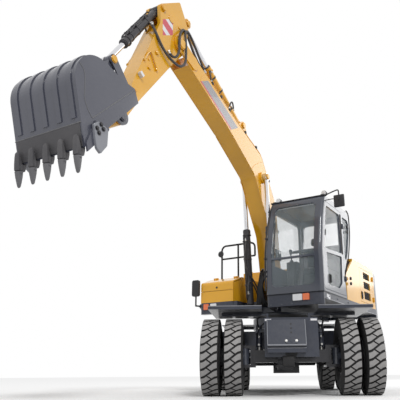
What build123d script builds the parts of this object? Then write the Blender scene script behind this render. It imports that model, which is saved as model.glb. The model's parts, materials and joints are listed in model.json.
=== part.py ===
"""A wheeled excavator of the 14-tonne class, parked, its boom raised and its upper structure swung to one side.

The frame of the model is the ground under the swing axis, +Z up. The undercarriage faces -Y and its cab
side is +X. The upper structure is drawn facing -Y too, and is then turned about Z by SWING_DEG. The boom,
the stick and the bucket are drawn in the plane of the boom, as pairs (forward, height) in millimetres.
"""
import os
from math import hypot, radians, sin, tan

from build123d import *

# Clearances
SEAT = 0.3          # gap between a piece and its seat
RUN = 6.0           # gap round a piece that moves
PIN_RUN = 0.1       # radial gap at a pin or a spindle

# Undercarriage
WHEELBASE = 2800
FRONT_AXLE_Y = -1850
REAR_AXLE_Y = FRONT_AXLE_Y + WHEELBASE
TRACK = 1936        # between the centres of the two twin wheels of an axle
TWIN_SPACING = 324
TYRE_RADIUS = 529
TYRE_HALF = 137     # half the section width
TREAD_HALF = 114
RIM_RADIUS = 254
RIM_WALL = 16
RIM_HALF = 105
KINGPIN_X = 655
KINGPIN_RADIUS = 45
STEER_ARM = 190     # from the kingpin back to the steering rod
STEER_ROD_INSET = 25
STEER_ROD_Z = TYRE_RADIUS + 85
SPINDLE_RADIUS = 62
HUB_RADIUS = 135
AXLE_Z = TYRE_RADIUS

FRAME_HALF = 370
FRAME_FRONT_Y = -2300
FRAME_REAR_Y = 1560
FRAME_TOP = AXLE_Z + 501
FRAME_BOTTOM = AXLE_Z + 31
PANEL_BOTTOM = AXLE_Z - 24
AXLE_ROOM_TOP = AXLE_Z + 161
AXLE_ROOM = 330     # from an axle to the end of the arch over it
TURRET_RADIUS = 560
TURRET_TOP = FRAME_TOP + 185
SLEW_RADIUS = 520
SLEW_SPLIT = TURRET_TOP + 47
STEP_BOX_Y = (FRONT_AXLE_Y + TYRE_RADIUS + 541, REAR_AXLE_Y - TYRE_RADIUS - 101)
STEP_BOX_HEIGHT = 400

FENDER_Z = 2 * TYRE_RADIUS + 107
FENDER_PLATE = 8
FENDER_LIP = 45
FENDER_IN = 400
FENDER_OUT = 1165

# Upper structure, drawn at its height above the ground when its slew ring splits at DRAWN_SPLIT
SWING_DEG = -26.8
DRAWN_SPLIT = 1262
RISE = SLEW_SPLIT - DRAWN_SPLIT
DECK_BOTTOM = 1300
DECK_TOP = 1495
SIDE_X = 1220       # half width over the body panels
PANEL = 30          # thickness of doors and body panels
CAB_X = (250, 1240)
CAB_WALL = 45
CAB_FLOOR = DECK_TOP + SEAT
CAB_ROOF = 3150
DOOR_HINGE = (1254, -125)
MIRROR_X = 1530
LAMP_Z = 1423
HOOD_TOP = 2285
HOOD_DEPTH = 40
HOOD_FRONT_Y = 760
COWL_FRONT_Y = 400
SIDE_DOOR_Y = (800, 1640)
SIDE_DOOR_Z = (1560, 2190)
SIDE_DOOR_HINGE = (1234, 1643)
LOUVRE_Y = (1030, 1450)
LOUVRE_ROWS = ((1620, 1770), (1825, 1960), (2010, 2140))
SLAT_SPACING = 30
TAIL_Y = 2250
TAIL_START_Y = 1750
TAIL_CORNER = 450
TAIL_LAMPS = ((-760, -560), (560, 760))
BOX_X = (-1200, -535)
BOX_FRONT_Y = -930
BOX_REAR_Y = -385
BOX_SLOPE_Y = -610
BOX_FRONT_TOP = 1850
BOX_TOP = 1958
TANK_REAR_Y = 700
RAIL_Y = -470
RAIL_RADIUS = 17

# The boom plane, pairs of (forward, height)
BOOM_X = -50
BOOM_HALF = 150
FOOT = (360, 1790)
LIFT_BASE = (765, 1370)
LIFT_EYE = (965, 3640)
ELBOW = (3540, 4880)
STICK_BASE = (1560, 4440)
STICK_EYE = (3290, 5440)
TIP = (4680, 3180)
CURL_BASE = (3950, 5245)
CURL_EYE = (4857, 3873)
IDLER_U_V = (380, 70)
BUCKET_EYE = (4887, 3476)
TEETH = (5480, 2145)
STICK_HALF = 130
BUCKET_HALF = 480
BUCKET_PLATE = 22
HEEL_RADIUS = 330
BAND_SPACING = 196
TOOTH_SPACING = 212
LINK_X = (136, 156)
EAR_X = (162, 190)
LIFT_CYLINDER_X = 225
FOOT_PIN = 45       # pin radii
LIFT_PIN = 38
ELBOW_PIN = 50
CROWD_PIN = 36
CURL_PIN = 34
IDLER_PIN_RADIUS = 38
TIP_PIN = 40
ELBOW_ROOM = 310    # radius of the space for the stick between the boom's fork plates

# Pipes along the boom's back: its corners, and its clamps with the way to the boom's face from each
PIPE_X = 125
BOOM_PIPE = [(225, 1900), (300, 2350), (385, 3255), (965, 4105), (1930, 4415), (2850, 4795)]
PIPE_CLAMPS = [
    (340, 2776, (45, -4)),
    (675, 3680, (37, -25)),
    (1160, 4168, (14, -43)),
    (2100, 4485, (17, -42)),
    (2640, 4708, (17, -42)),
]

# Cylinders: barrel radius, rod radius, half width of the base eye and of the rod eye, and from the base pin
# the start of the bore, the rod's inner end and the end of the barrel
LIFT_CYLINDER = (60, 38, 35, 35, 110, 800, 1345)
STICK_CYLINDER = (64, 42, 64, 50, 130, 600, 1210)
CURL_CYLINDER = (57, 37, 69, 45, 115, 250, 1085)


def block(x, y, z):
    """A box between the two bounds of each axis."""
    return Pos((x[0] + x[1]) / 2, (y[0] + y[1]) / 2, (z[0] + z[1]) / 2) * Box(
        abs(x[1] - x[0]), abs(y[1] - y[0]), abs(z[1] - z[0])
    )


def bar(start, end, radius):
    """A round bar between two points."""
    way = Vector(*end) - Vector(*start)
    return Solid.make_cylinder(radius, way.length, Plane(origin=start, z_dir=way))


def side_face(points):
    """A polygon of (forward, height) pairs, as a face in the plane x = 0."""
    return Plane(origin=(0, 0, 0), x_dir=(0, -1, 0), z_dir=(-1, 0, 0)) * make_face(
        Polyline(*points, close=True)
    )


def soft_side(corners):
    """A side face from a table of corners: forward, height, radius of the corner's arc."""
    arcs = []
    for i, (a, b, radius) in enumerate(corners):
        here = Vector(a, b)
        after = corners[(i + 1) % len(corners)]
        back = (Vector(*corners[i - 1][:2]) - here).normalized()
        ahead = (Vector(*after[:2]) - here).normalized()
        half = radians(back.get_angle(ahead) / 2)
        reach = radius / tan(half)
        middle = here + (back + ahead).normalized() * (radius / sin(half) - radius)
        arcs.append((here + back * reach, middle, here + ahead * reach))
    edges = []
    for i, (start, middle, end) in enumerate(arcs):
        if corners[i][2]:
            edges.append(ThreePointArc(start, middle, end))
        edges.append(Line(end, arcs[(i + 1) % len(arcs)][0]))
    return Plane(origin=(0, 0, 0), x_dir=(0, -1, 0), z_dir=(-1, 0, 0)) * make_face(Wire(edges))


def across(face, x):
    """A side face given thickness between two places on x."""
    return Pos(x[1], 0, 0) * extrude(face, x[1] - x[0])


def plate(points, x):
    return across(side_face(points), x)


def disc(centre, radius, x):
    """A round boss across the boom plane."""
    return bar((x[0], -centre[0], centre[1]), (x[1], -centre[0], centre[1]), radius)


def rounded_block(x, y, z, radius, axis):
    """A box whose edges along one axis are rounded."""
    box = block(x, y, z)
    return fillet(box.edges().filter_by(axis), radius)


def pipe(plane, points, radii, size):
    """A bent pipe along a path of straight runs and arcs in a plane."""
    path = plane * FilletPolyline(*points, radius=radii)
    return sweep(Plane(origin=path @ 0, z_dir=path % 0) * Circle(size), path=path)


def point(centre, x=0):
    return (x, -centre[0], centre[1])


def capsule(start, end, radius_start, radius_end, x):
    """A link plate: two bosses and the tapered web that joins them."""
    way = (end[0] - start[0], end[1] - start[1])
    length = hypot(*way)
    across_way = (-way[1] / length, way[0] / length)
    corners = [
        (start[0] + across_way[0] * radius_start * 0.9, start[1] + across_way[1] * radius_start * 0.9),
        (end[0] + across_way[0] * radius_end * 0.9, end[1] + across_way[1] * radius_end * 0.9),
        (end[0] - across_way[0] * radius_end * 0.9, end[1] - across_way[1] * radius_end * 0.9),
        (start[0] - across_way[0] * radius_start * 0.9, start[1] - across_way[1] * radius_start * 0.9),
    ]
    return plate(corners, x) + disc(start, radius_start, x) + disc(end, radius_end, x)


def both_sides(x):
    return ((-x[1], -x[0]), (x[0], x[1]))


def fuse(pieces):
    pieces = list(pieces)
    whole = pieces[0]
    for piece in pieces[1:]:
        whole = whole + piece
    return whole


def mirrored(piece):
    return mirror(piece, about=Plane.YZ)


def hinge(at, along, leaf_fixed, leaf_moving, length=90, radius=13, pin=6):
    """A hinge about a line: the middle third turns on a pin held by the outer thirds."""
    way = Vector(*along)

    def stretch(low, high, size):
        return bar(Vector(*at) + way * (low * length), Vector(*at) + way * (high * length), size)

    gap = 1 / length
    fixed = fuse([stretch(-0.5, -1 / 6 - gap, radius), stretch(1 / 6 + gap, 0.5, radius), leaf_fixed])
    fixed -= stretch(-1 / 6 - gap, 1 / 6 + gap, radius + 2)
    fixed += stretch(-0.5, 0.5, pin)
    moving = fuse([stretch(-1 / 6, 1 / 6, radius), leaf_moving])
    moving -= stretch(-0.5, -1 / 6, radius + 2)
    moving -= stretch(1 / 6, 0.5, radius + 2)
    moving -= stretch(-0.5, 0.5, pin + PIN_RUN)
    return fixed, moving


PARTS = {}


def keep(name, *solids, turned=False, arm=False):
    """Note a sub-part; arm pieces are moved to the boom's place on x, and all of the upper structure turns."""
    place = Pos(0, 0, 0)
    if turned or arm:
        place = Rot(0, 0, SWING_DEG) * Pos(BOOM_X if arm else 0, 0, RISE)
    flat = [place * solid for piece in solids for solid in piece.solids()]
    PARTS[name] = Compound(flat) if len(flat) > 1 else flat[0]


# The frame of the undercarriage, with the slew turret
def chassis():
    profile = [
        (FRAME_FRONT_Y, PANEL_BOTTOM),
        (FRAME_FRONT_Y + 170, PANEL_BOTTOM),
        (FRAME_FRONT_Y + 200, AXLE_ROOM_TOP),
        (FRONT_AXLE_Y + AXLE_ROOM, AXLE_ROOM_TOP),
        (FRONT_AXLE_Y + AXLE_ROOM + 90, FRAME_BOTTOM),
        (REAR_AXLE_Y - AXLE_ROOM, FRAME_BOTTOM),
        (REAR_AXLE_Y - AXLE_ROOM + 90, AXLE_ROOM_TOP),
        (REAR_AXLE_Y + AXLE_ROOM - 90, AXLE_ROOM_TOP),
        (REAR_AXLE_Y + AXLE_ROOM, FRAME_BOTTOM),
        (FRAME_REAR_Y, FRAME_BOTTOM),
        (FRAME_REAR_Y, FRAME_TOP - 60),
        (FRAME_REAR_Y - 260, FRAME_TOP),
        (FRAME_FRONT_Y, FRAME_TOP),
    ]
    beam = plate([(-y, z) for y, z in profile], (-FRAME_HALF, FRAME_HALF))
    nose = -FRAME_FRONT_Y
    wedge = plate([(nose, AXLE_Z + 471), (nose + 30, AXLE_Z + 471), (nose + 130, AXLE_Z + 131),
                   (nose + 100, AXLE_Z + 91), (nose + 100, AXLE_Z + 31), (nose, AXLE_Z + 31)], (-330, 190))
    turret = Pos(0, 0, (FRAME_TOP + TURRET_TOP) / 2) * Cylinder(TURRET_RADIUS, TURRET_TOP - FRAME_TOP)
    locks = []
    for x in (-445, 445):
        side = 1 if x > 0 else -1
        y = FRONT_AXLE_Y
        locks.append(bar((x, y, AXLE_Z + 85 + SEAT), (x, y, AXLE_Z + 130), 28))
        locks.append(bar((x, y, AXLE_Z + 130), (x, y, AXLE_Z + 441), 45))
        locks.append(block((side * (FRAME_HALF - 10), x + side * 50), (y - 60, y + 60), (AXLE_Z + 330, AXLE_Z + 380)))
    keep("chassis_frame", fuse([beam, wedge, turret] + locks))
    ring = Pos(0, 0, (TURRET_TOP + SLEW_SPLIT) / 2) * Cylinder(SLEW_RADIUS, SLEW_SPLIT - TURRET_TOP)
    keep("slew_ring", ring)


def fenders():
    plates = []
    front = (FRONT_AXLE_Y - 350, FRONT_AXLE_Y + 1000)
    rear = (REAR_AXLE_Y - 545, REAR_AXLE_Y + 560)
    for y in (front, rear):
        top = block((FENDER_IN, FENDER_OUT), y, (FENDER_Z, FENDER_Z + FENDER_PLATE))
        lip_y = y[0] if y is front else y[1] - FENDER_PLATE
        lip = block((FENDER_IN, FENDER_OUT), (lip_y, lip_y + FENDER_PLATE), (FENDER_Z, FENDER_Z + FENDER_LIP))
        leg_y = (y[0] + y[1]) / 2
        leg = block((FRAME_HALF - 70, FRAME_HALF - 30), (leg_y - 60, leg_y + 60), (FRAME_TOP + SEAT, FENDER_Z))
        arm = block((FRAME_HALF - 70, FENDER_OUT - 150), (leg_y - 25, leg_y + 25), (FENDER_Z - 35, FENDER_Z))
        one = fuse([top, lip, leg, arm])
        plates += [one, mirrored(one)]
    keep("fenders", *plates)


def steps():
    y = STEP_BOX_Y
    z = FRAME_BOTTOM
    case = block((FRAME_HALF + SEAT, 1150), y, (z, z + STEP_BOX_HEIGHT))
    tread = block((700, 1200), (y[0] + 40, y[1] - 40), (z - 160, z - 130))
    hangers = [block((760, 800), (place, place + 60), (z - 130, z)) for place in (y[0] + 80, y[1] - 140)]
    one = fuse([case, tread] + hangers)
    keep("step_boxes", one, mirrored(one))


def front_axle():
    y = FRONT_AXLE_Y
    beam = block((-540, 540), (y - 85, y + 85), (AXLE_Z - 85, AXLE_Z + 85))
    case = bar((-190, y, AXLE_Z - 20), (30, y, AXLE_Z - 20), 160)
    trunnion = block((-120, 120), (y - 110, y + 110), (AXLE_Z + 60, AXLE_ROOM_TOP - SEAT))
    ends = []
    for side in (-1, 1):
        x = (side * 500, side * (KINGPIN_X + 50))
        for z in ((AXLE_Z + 112, AXLE_Z + 150), (AXLE_Z - 150, AXLE_Z - 112)):
            ends.append(block(x, (y - 60, y + 60), z))
        ends.append(block((side * 500, side * 575), (y - 60, y + 60), (AXLE_Z - 150, AXLE_Z + 150)))
    cylinder = bar((-260, y + STEER_ARM, STEER_ROD_Z), (260, y + STEER_ARM, STEER_ROD_Z), 42)
    cylinder -= bar((-261, y + STEER_ARM, STEER_ROD_Z), (261, y + STEER_ARM, STEER_ROD_Z), 20 + PIN_RUN)
    stays = [
        block((x - 30, x + 30), (y + 60, y + STEER_ARM - 35), (AXLE_Z + 40, STEER_ROD_Z + 25)) for x in (-180, 180)
    ]
    keep("front_axle", fuse([beam, case, trunnion, cylinder] + ends + stays))
    rod_x = KINGPIN_X - STEER_ROD_INSET
    rod = bar((-rod_x, y + STEER_ARM, STEER_ROD_Z), (rod_x, y + STEER_ARM, STEER_ROD_Z), 20)
    eyes = [
        bar((side * rod_x, y + STEER_ARM, STEER_ROD_Z - 25), (side * rod_x, y + STEER_ARM, STEER_ROD_Z + 25), 30)
        for side in (-1, 1)
    ]
    keep("steering_rod", fuse([rod] + eyes))


def knuckle(side):
    y = FRONT_AXLE_Y
    x = side * KINGPIN_X
    post = bar((x, y, AXLE_Z - 112 + SEAT), (x, y, AXLE_Z + 112 - SEAT), 62)
    spindle = bar((x, y, AXLE_Z), (side * (KINGPIN_X + 190), y, AXLE_Z), SPINDLE_RADIUS)
    arm_z = (STEER_ROD_Z - 71, STEER_ROD_Z - 25 - RUN)
    arm = block((x - 30, x + 30), (y, y + STEER_ARM), arm_z)
    boss_x = x - side * STEER_ROD_INSET
    boss = bar((boss_x, y + STEER_ARM, arm_z[0]), (boss_x, y + STEER_ARM, arm_z[1]), 38)
    keep("knuckle_left" if side > 0 else "knuckle_right", fuse([post, spindle, arm, boss]))


def rear_axle():
    y = REAR_AXLE_Y
    beam = block((-600, 600), (y - 90, y + 90), (AXLE_Z - 90, AXLE_Z + 90))
    case = bar((-110, y, AXLE_Z - 20), (110, y, AXLE_Z - 20), 165)
    spindles = [bar((side * 500, y, AXLE_Z), (side * (KINGPIN_X + 190), y, AXLE_Z), SPINDLE_RADIUS) for side in (-1, 1)]
    pads = [block((x - 90, x + 90), (y - 90, y + 90), (AXLE_Z + 60, AXLE_ROOM_TOP - SEAT)) for x in (-270, 270)]
    keep("rear_axle", fuse([beam, case] + spindles + pads))


def drive_line():
    box = block((-220, 220), (-250, 250), (AXLE_Z - 229, FRAME_BOTTOM - SEAT))
    front = bar((-80, FRONT_AXLE_Y + 190, AXLE_Z - 20), (-60, -250 - SEAT, AXLE_Z - 99), 38)
    rear = bar((0, REAR_AXLE_Y - 205, AXLE_Z - 20), (0, 250 + SEAT, AXLE_Z - 99), 38)
    keep("drive_line", box, front, rear)


def wheel(name, side, y):
    """Twin rims on one hub, and their two tyres."""
    inner = TRACK / 2 - TWIN_SPACING / 2
    outer = TRACK / 2 + TWIN_SPACING / 2
    hub_start = KINGPIN_X + 110
    profile = [
        (hub_start, SPINDLE_RADIUS + PIN_RUN),
        (hub_start, HUB_RADIUS),
        (inner + RIM_HALF + 12, HUB_RADIUS),
        (inner + RIM_HALF + 12, RIM_RADIUS - RIM_WALL),
        (inner - RIM_HALF, RIM_RADIUS - RIM_WALL),
        (inner - RIM_HALF, RIM_RADIUS),
        (inner + RIM_HALF + 26, RIM_RADIUS),
        (inner + RIM_HALF + 26, HUB_RADIUS),
        (outer - RIM_HALF - 26, HUB_RADIUS),
        (outer - RIM_HALF - 26, RIM_RADIUS),
        (outer + RIM_HALF, RIM_RADIUS),
        (outer + RIM_HALF, RIM_RADIUS - RIM_WALL),
        (outer - RIM_HALF - 12, RIM_RADIUS - RIM_WALL),
        (outer - RIM_HALF - 12, HUB_RADIUS),
        (outer + 60, HUB_RADIUS),
        (outer + 60, 95),
        (outer + 95, 80),
        (outer + 95, 0),
        (KINGPIN_X + 195, 0),
        (KINGPIN_X + 195, SPINDLE_RADIUS + PIN_RUN),
    ]
    rims = revolve(Plane.XY * make_face(Polyline(*profile, close=True)), Axis.X)
    rims = Pos(0, y, AXLE_Z) * rims
    tyres = []
    bead = RIM_RADIUS + SEAT
    shoulder = TYRE_RADIUS - 29
    belly = (RIM_RADIUS + shoulder) / 2
    for middle in (inner, outer):
        left, right = middle - 100, middle + 100
        lines = [
            Line((left, bead), (right, bead)),
            ThreePointArc((right, bead), (middle + TYRE_HALF, belly), (middle + TREAD_HALF, shoulder)),
            Line((middle + TREAD_HALF, shoulder), (middle + TREAD_HALF - 14, TYRE_RADIUS)),
            Line((middle + TREAD_HALF - 14, TYRE_RADIUS), (middle - TREAD_HALF + 14, TYRE_RADIUS)),
            Line((middle - TREAD_HALF + 14, TYRE_RADIUS), (middle - TREAD_HALF, shoulder)),
            ThreePointArc((middle - TREAD_HALF, shoulder), (middle - TYRE_HALF, belly), (left, bead)),
        ]
        tyre = revolve(make_face(Wire(lines)), Axis.X)
        tyres.append(Pos(0, y, AXLE_Z) * tyre)
    if side < 0:
        rims = mirrored(rims)
        tyres = [mirrored(t) for t in tyres]
    keep("rims_" + name, rims)
    keep("tyres_" + name, *tyres)


# The revolving frame: centre box, boom brackets and side decks
def upper_frame():
    ring_bottom = DRAWN_SPLIT + SEAT
    ring = Pos(0, 0, (ring_bottom + DECK_BOTTOM) / 2) * Cylinder(SLEW_RADIUS, DECK_BOTTOM - ring_bottom)
    centre = block((BOOM_X - 420, BOOM_X + 270), (-600, TAIL_START_Y - SEAT), (DECK_BOTTOM, DECK_TOP))
    left = block((BOOM_X + 300, SIDE_X), (-1180, TAIL_START_Y - SEAT), (1385, DECK_TOP))
    left += block((BOOM_X + 200, BOOM_X + 301), (-400, TAIL_START_Y - SEAT), (1385, DECK_TOP))
    right = block((-SIDE_X, BOOM_X - 420), (-900, TAIL_START_Y - SEAT), (1385, DECK_TOP))
    left += rounded_block((CAB_X[0], SIDE_X), (-1215, -1090), (1300, 1480), 60, Axis.Z)
    right += rounded_block((-SIDE_X, BOX_X[1]), (-930, -800), (1300, DECK_TOP), 60, Axis.Z)
    brackets = []
    for x in both_sides((BOOM_HALF + 10, BOOM_HALF + 32)):
        x = (x[0] + BOOM_X, x[1] + BOOM_X)
        cheek = plate(
            [(-250, DECK_TOP - 60), (-100, 1700), (200, 1900), (480, 1900), (560, 1700), (650, 1480), (700, 1400),
             (765, 1370), (765, 1320), (600, DECK_BOTTOM), (300, DECK_BOTTOM)],
            x,
        )
        brackets += [cheek, disc(LIFT_BASE, 50, x)]
    pins = [
        disc(FOOT, FOOT_PIN, (BOOM_X + x[0], BOOM_X + x[1]))
        for x in both_sides((BOOM_HALF - 60, BOOM_HALF + 40))
    ]
    base_pins = []
    for x in both_sides((BOOM_HALF + 10, LIFT_CYLINDER_X + LIFT_CYLINDER[2] + 4)):
        base_pins.append(disc(LIFT_BASE, LIFT_PIN, (BOOM_X + x[0], BOOM_X + x[1])))
    frame = fuse([ring, centre, left, right] + brackets + pins + base_pins)
    keep("upper_frame", frame, turned=True)


def cab_outline(less=0.0):
    """The cab's side, from the foot of the windscreen over the roof to the notch at its back."""
    corners = [
        # forward, height, radius of the corner
        (1235, CAB_FLOOR, 0),
        (1228, 2200, 600),
        (1115, 2700, 600),
        (985, 3060, 200),
        (920, CAB_ROOF, 60),
        (-270, CAB_ROOF, 70),
        (-335, 3080, 60),
        (-322, 2730, 150),
        (-160, 2280, 200),
        (110, 1900, 120),
        (45, CAB_FLOOR, 0),
    ]
    outline = soft_side(corners)
    return offset(outline, amount=-less) if less else outline


# The cab's door and its side windows: forward, height, radius of the corner
DOOR_OUTLINE = [(150, 1540, 15), (1165, 1540, 60), (1160, 2190, 400), (1046, 2690, 400), (925, 3020, 90), (150, 3020, 20)]
DOOR_LIGHTS = [
    [(245, 2255, 30), (1085, 2195, 40), (975, 2690, 300), (885, 2955, 60), (250, 2955, 40)],
    [(245, 2200, 30), (1000, 2140, 40), (975, 1625, 60), (455, 1625, 60), (300, 1730, 60)],
]
QUARTER_WINDOW = [(75, 2960, 30), (-260, 2960, 90), (-250, 2740, 200), (-95, 2310, 120), (75, 2085, 50)]

# The cab's other windows: name, axis that it faces, x bounds, forward bounds, height bounds, radii below and above
CAB_WINDOWS = [
    ("lower_windscreen", Axis.Y, (365, 1110), (1100, 1400), (1605, 2055), 80, 12),
    ("windscreen", Axis.Y, (365, 1110), (960, 1400), (2085, 3005), 12, 90),
    ("right_window", Axis.X, (200, 320), (-230, 1000), (2010, 2960), 60, 60),
    ("rear_window", Axis.Y, (340, 1150), (-400, -200), (2380, 2980), 60, 60),
]


def window(row, less=0.0):
    """The opening of a window, or its pane's outline when it is made smaller."""
    name, axis, x, a, z, low, high = row
    opening = block((x[0] + less, x[1] - less), (-a[1] + less, -a[0] - less), (z[0] + less, z[1] - less))
    opening = fillet(opening.edges().filter_by(axis).group_by(Axis.Z)[0], low - less)
    return fillet(opening.edges().filter_by(axis).group_by(Axis.Z)[-1], high - less)


def cab():
    soft = 55
    outer = across(cab_outline(), CAB_X)
    outer = fillet([e for e in outer.edges() if e.center().Z > CAB_FLOOR + 1 and abs(abs(e.center().X - 745) - 495) < 1
                    and e.center().Y < 300 and (e.center().Y < -900 or e.center().Z > 3100)], soft)
    inner = across(cab_outline(CAB_WALL), (CAB_X[0] + CAB_WALL, CAB_X[1] - CAB_WALL))
    shell = outer - inner
    side = (CAB_X[1] - CAB_WALL - 5, CAB_X[1] + 5)
    shell -= across(offset(soft_side(DOOR_OUTLINE), amount=RUN), side)
    quarter = soft_side(QUARTER_WINDOW)
    shell -= across(quarter, side)
    for row in CAB_WINDOWS:
        shell -= window(row)
    skin = across(cab_outline(16), (CAB_X[0] + 16, CAB_X[1] - 16))
    skin -= across(cab_outline(22), (CAB_X[0] + 22, CAB_X[1] - 22))
    panes = [skin & window(row, 0.4) for row in CAB_WINDOWS]
    pane_x = (CAB_X[1] - 22, CAB_X[1] - 16)
    panes.append(across(offset(quarter, amount=-0.4), pane_x))
    keep("cab_glass", *panes, turned=True)
    door = across(soft_side(DOOR_OUTLINE), (CAB_X[1] - CAB_WALL + 2, CAB_X[1]))
    glass = []
    for corners in DOOR_LIGHTS:
        light = soft_side(corners)
        door -= across(light, side)
        glass.append(across(offset(light, amount=-0.4), pane_x))
    for z in (1830, 2770):
        still = block((CAB_X[1] - 8, DOOR_HINGE[0]), (DOOR_HINGE[1], DOOR_HINGE[1] + 12), (z - 45, z + 45))
        moving = block((CAB_X[1] - 8, CAB_X[1] + 8), (DOOR_HINGE[1] - 60, DOOR_HINGE[1]), (z - 15, z + 15))
        fixed, turning = hinge((DOOR_HINGE[0], DOOR_HINGE[1], z), (0, 0, 1), still, moving)
        shell += fixed
        gap = block((CAB_X[1] - 30, CAB_X[1] + 1), (DOOR_HINGE[1] - 24, DOOR_HINGE[1] + 30), (z - 60, z + 60))
        door += turning - gap
    keep("cab_shell", shell, turned=True)
    keep("cab_door", door, turned=True)
    keep("door_glass", *glass, turned=True)


def cab_inside():
    floor = CAB_FLOOR + CAB_WALL
    base = block((560, 960), (-640, -200), (floor + SEAT, floor + 330))
    cushion = block((540, 980), (-700, -180), (floor + 330 + SEAT, floor + 450))
    back = plate([(170, floor + 440), (280, floor + 440), (180, floor + 1090), (80, floor + 1090)], (550, 970))
    back -= block((540, 980), (-700, -180), (floor, floor + 450 + SEAT))
    keep("seat", cushion, back, turned=True)
    post = bar((760, -1010, floor + 20), (760, -820, floor + 680), 40)
    post += block((700, 820), (-1070, -950), (floor + SEAT, floor + 60))
    rim = Pos(760, -812, floor + 705) * (Rot(18, 0, 0) * Torus(190, 14))
    hub = Pos(760, -812, floor + 700) * (Rot(18, 0, 0) * Cylinder(60, 40))
    spokes = [Pos(760, -812, floor + 705) * (Rot(18, 0, 0) * (Rot(0, 0, a) * (Pos(95, 0, 0) * Box(190, 24, 14))))
              for a in (90, 210, 330)]
    wheel_solid = fuse([rim, hub] + spokes)
    keep("steering_column", post - wheel_solid - Pos(760, -812, floor + 700) * (Rot(18, 0, 0) * Cylinder(61, 42)),
         wheel_solid, turned=True)
    consoles = [block((x, x + 120), (-720, -200), (floor + SEAT, floor + 560)) for x in (410, 1000)]
    keep("cab_consoles", base, *consoles, turned=True)


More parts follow.
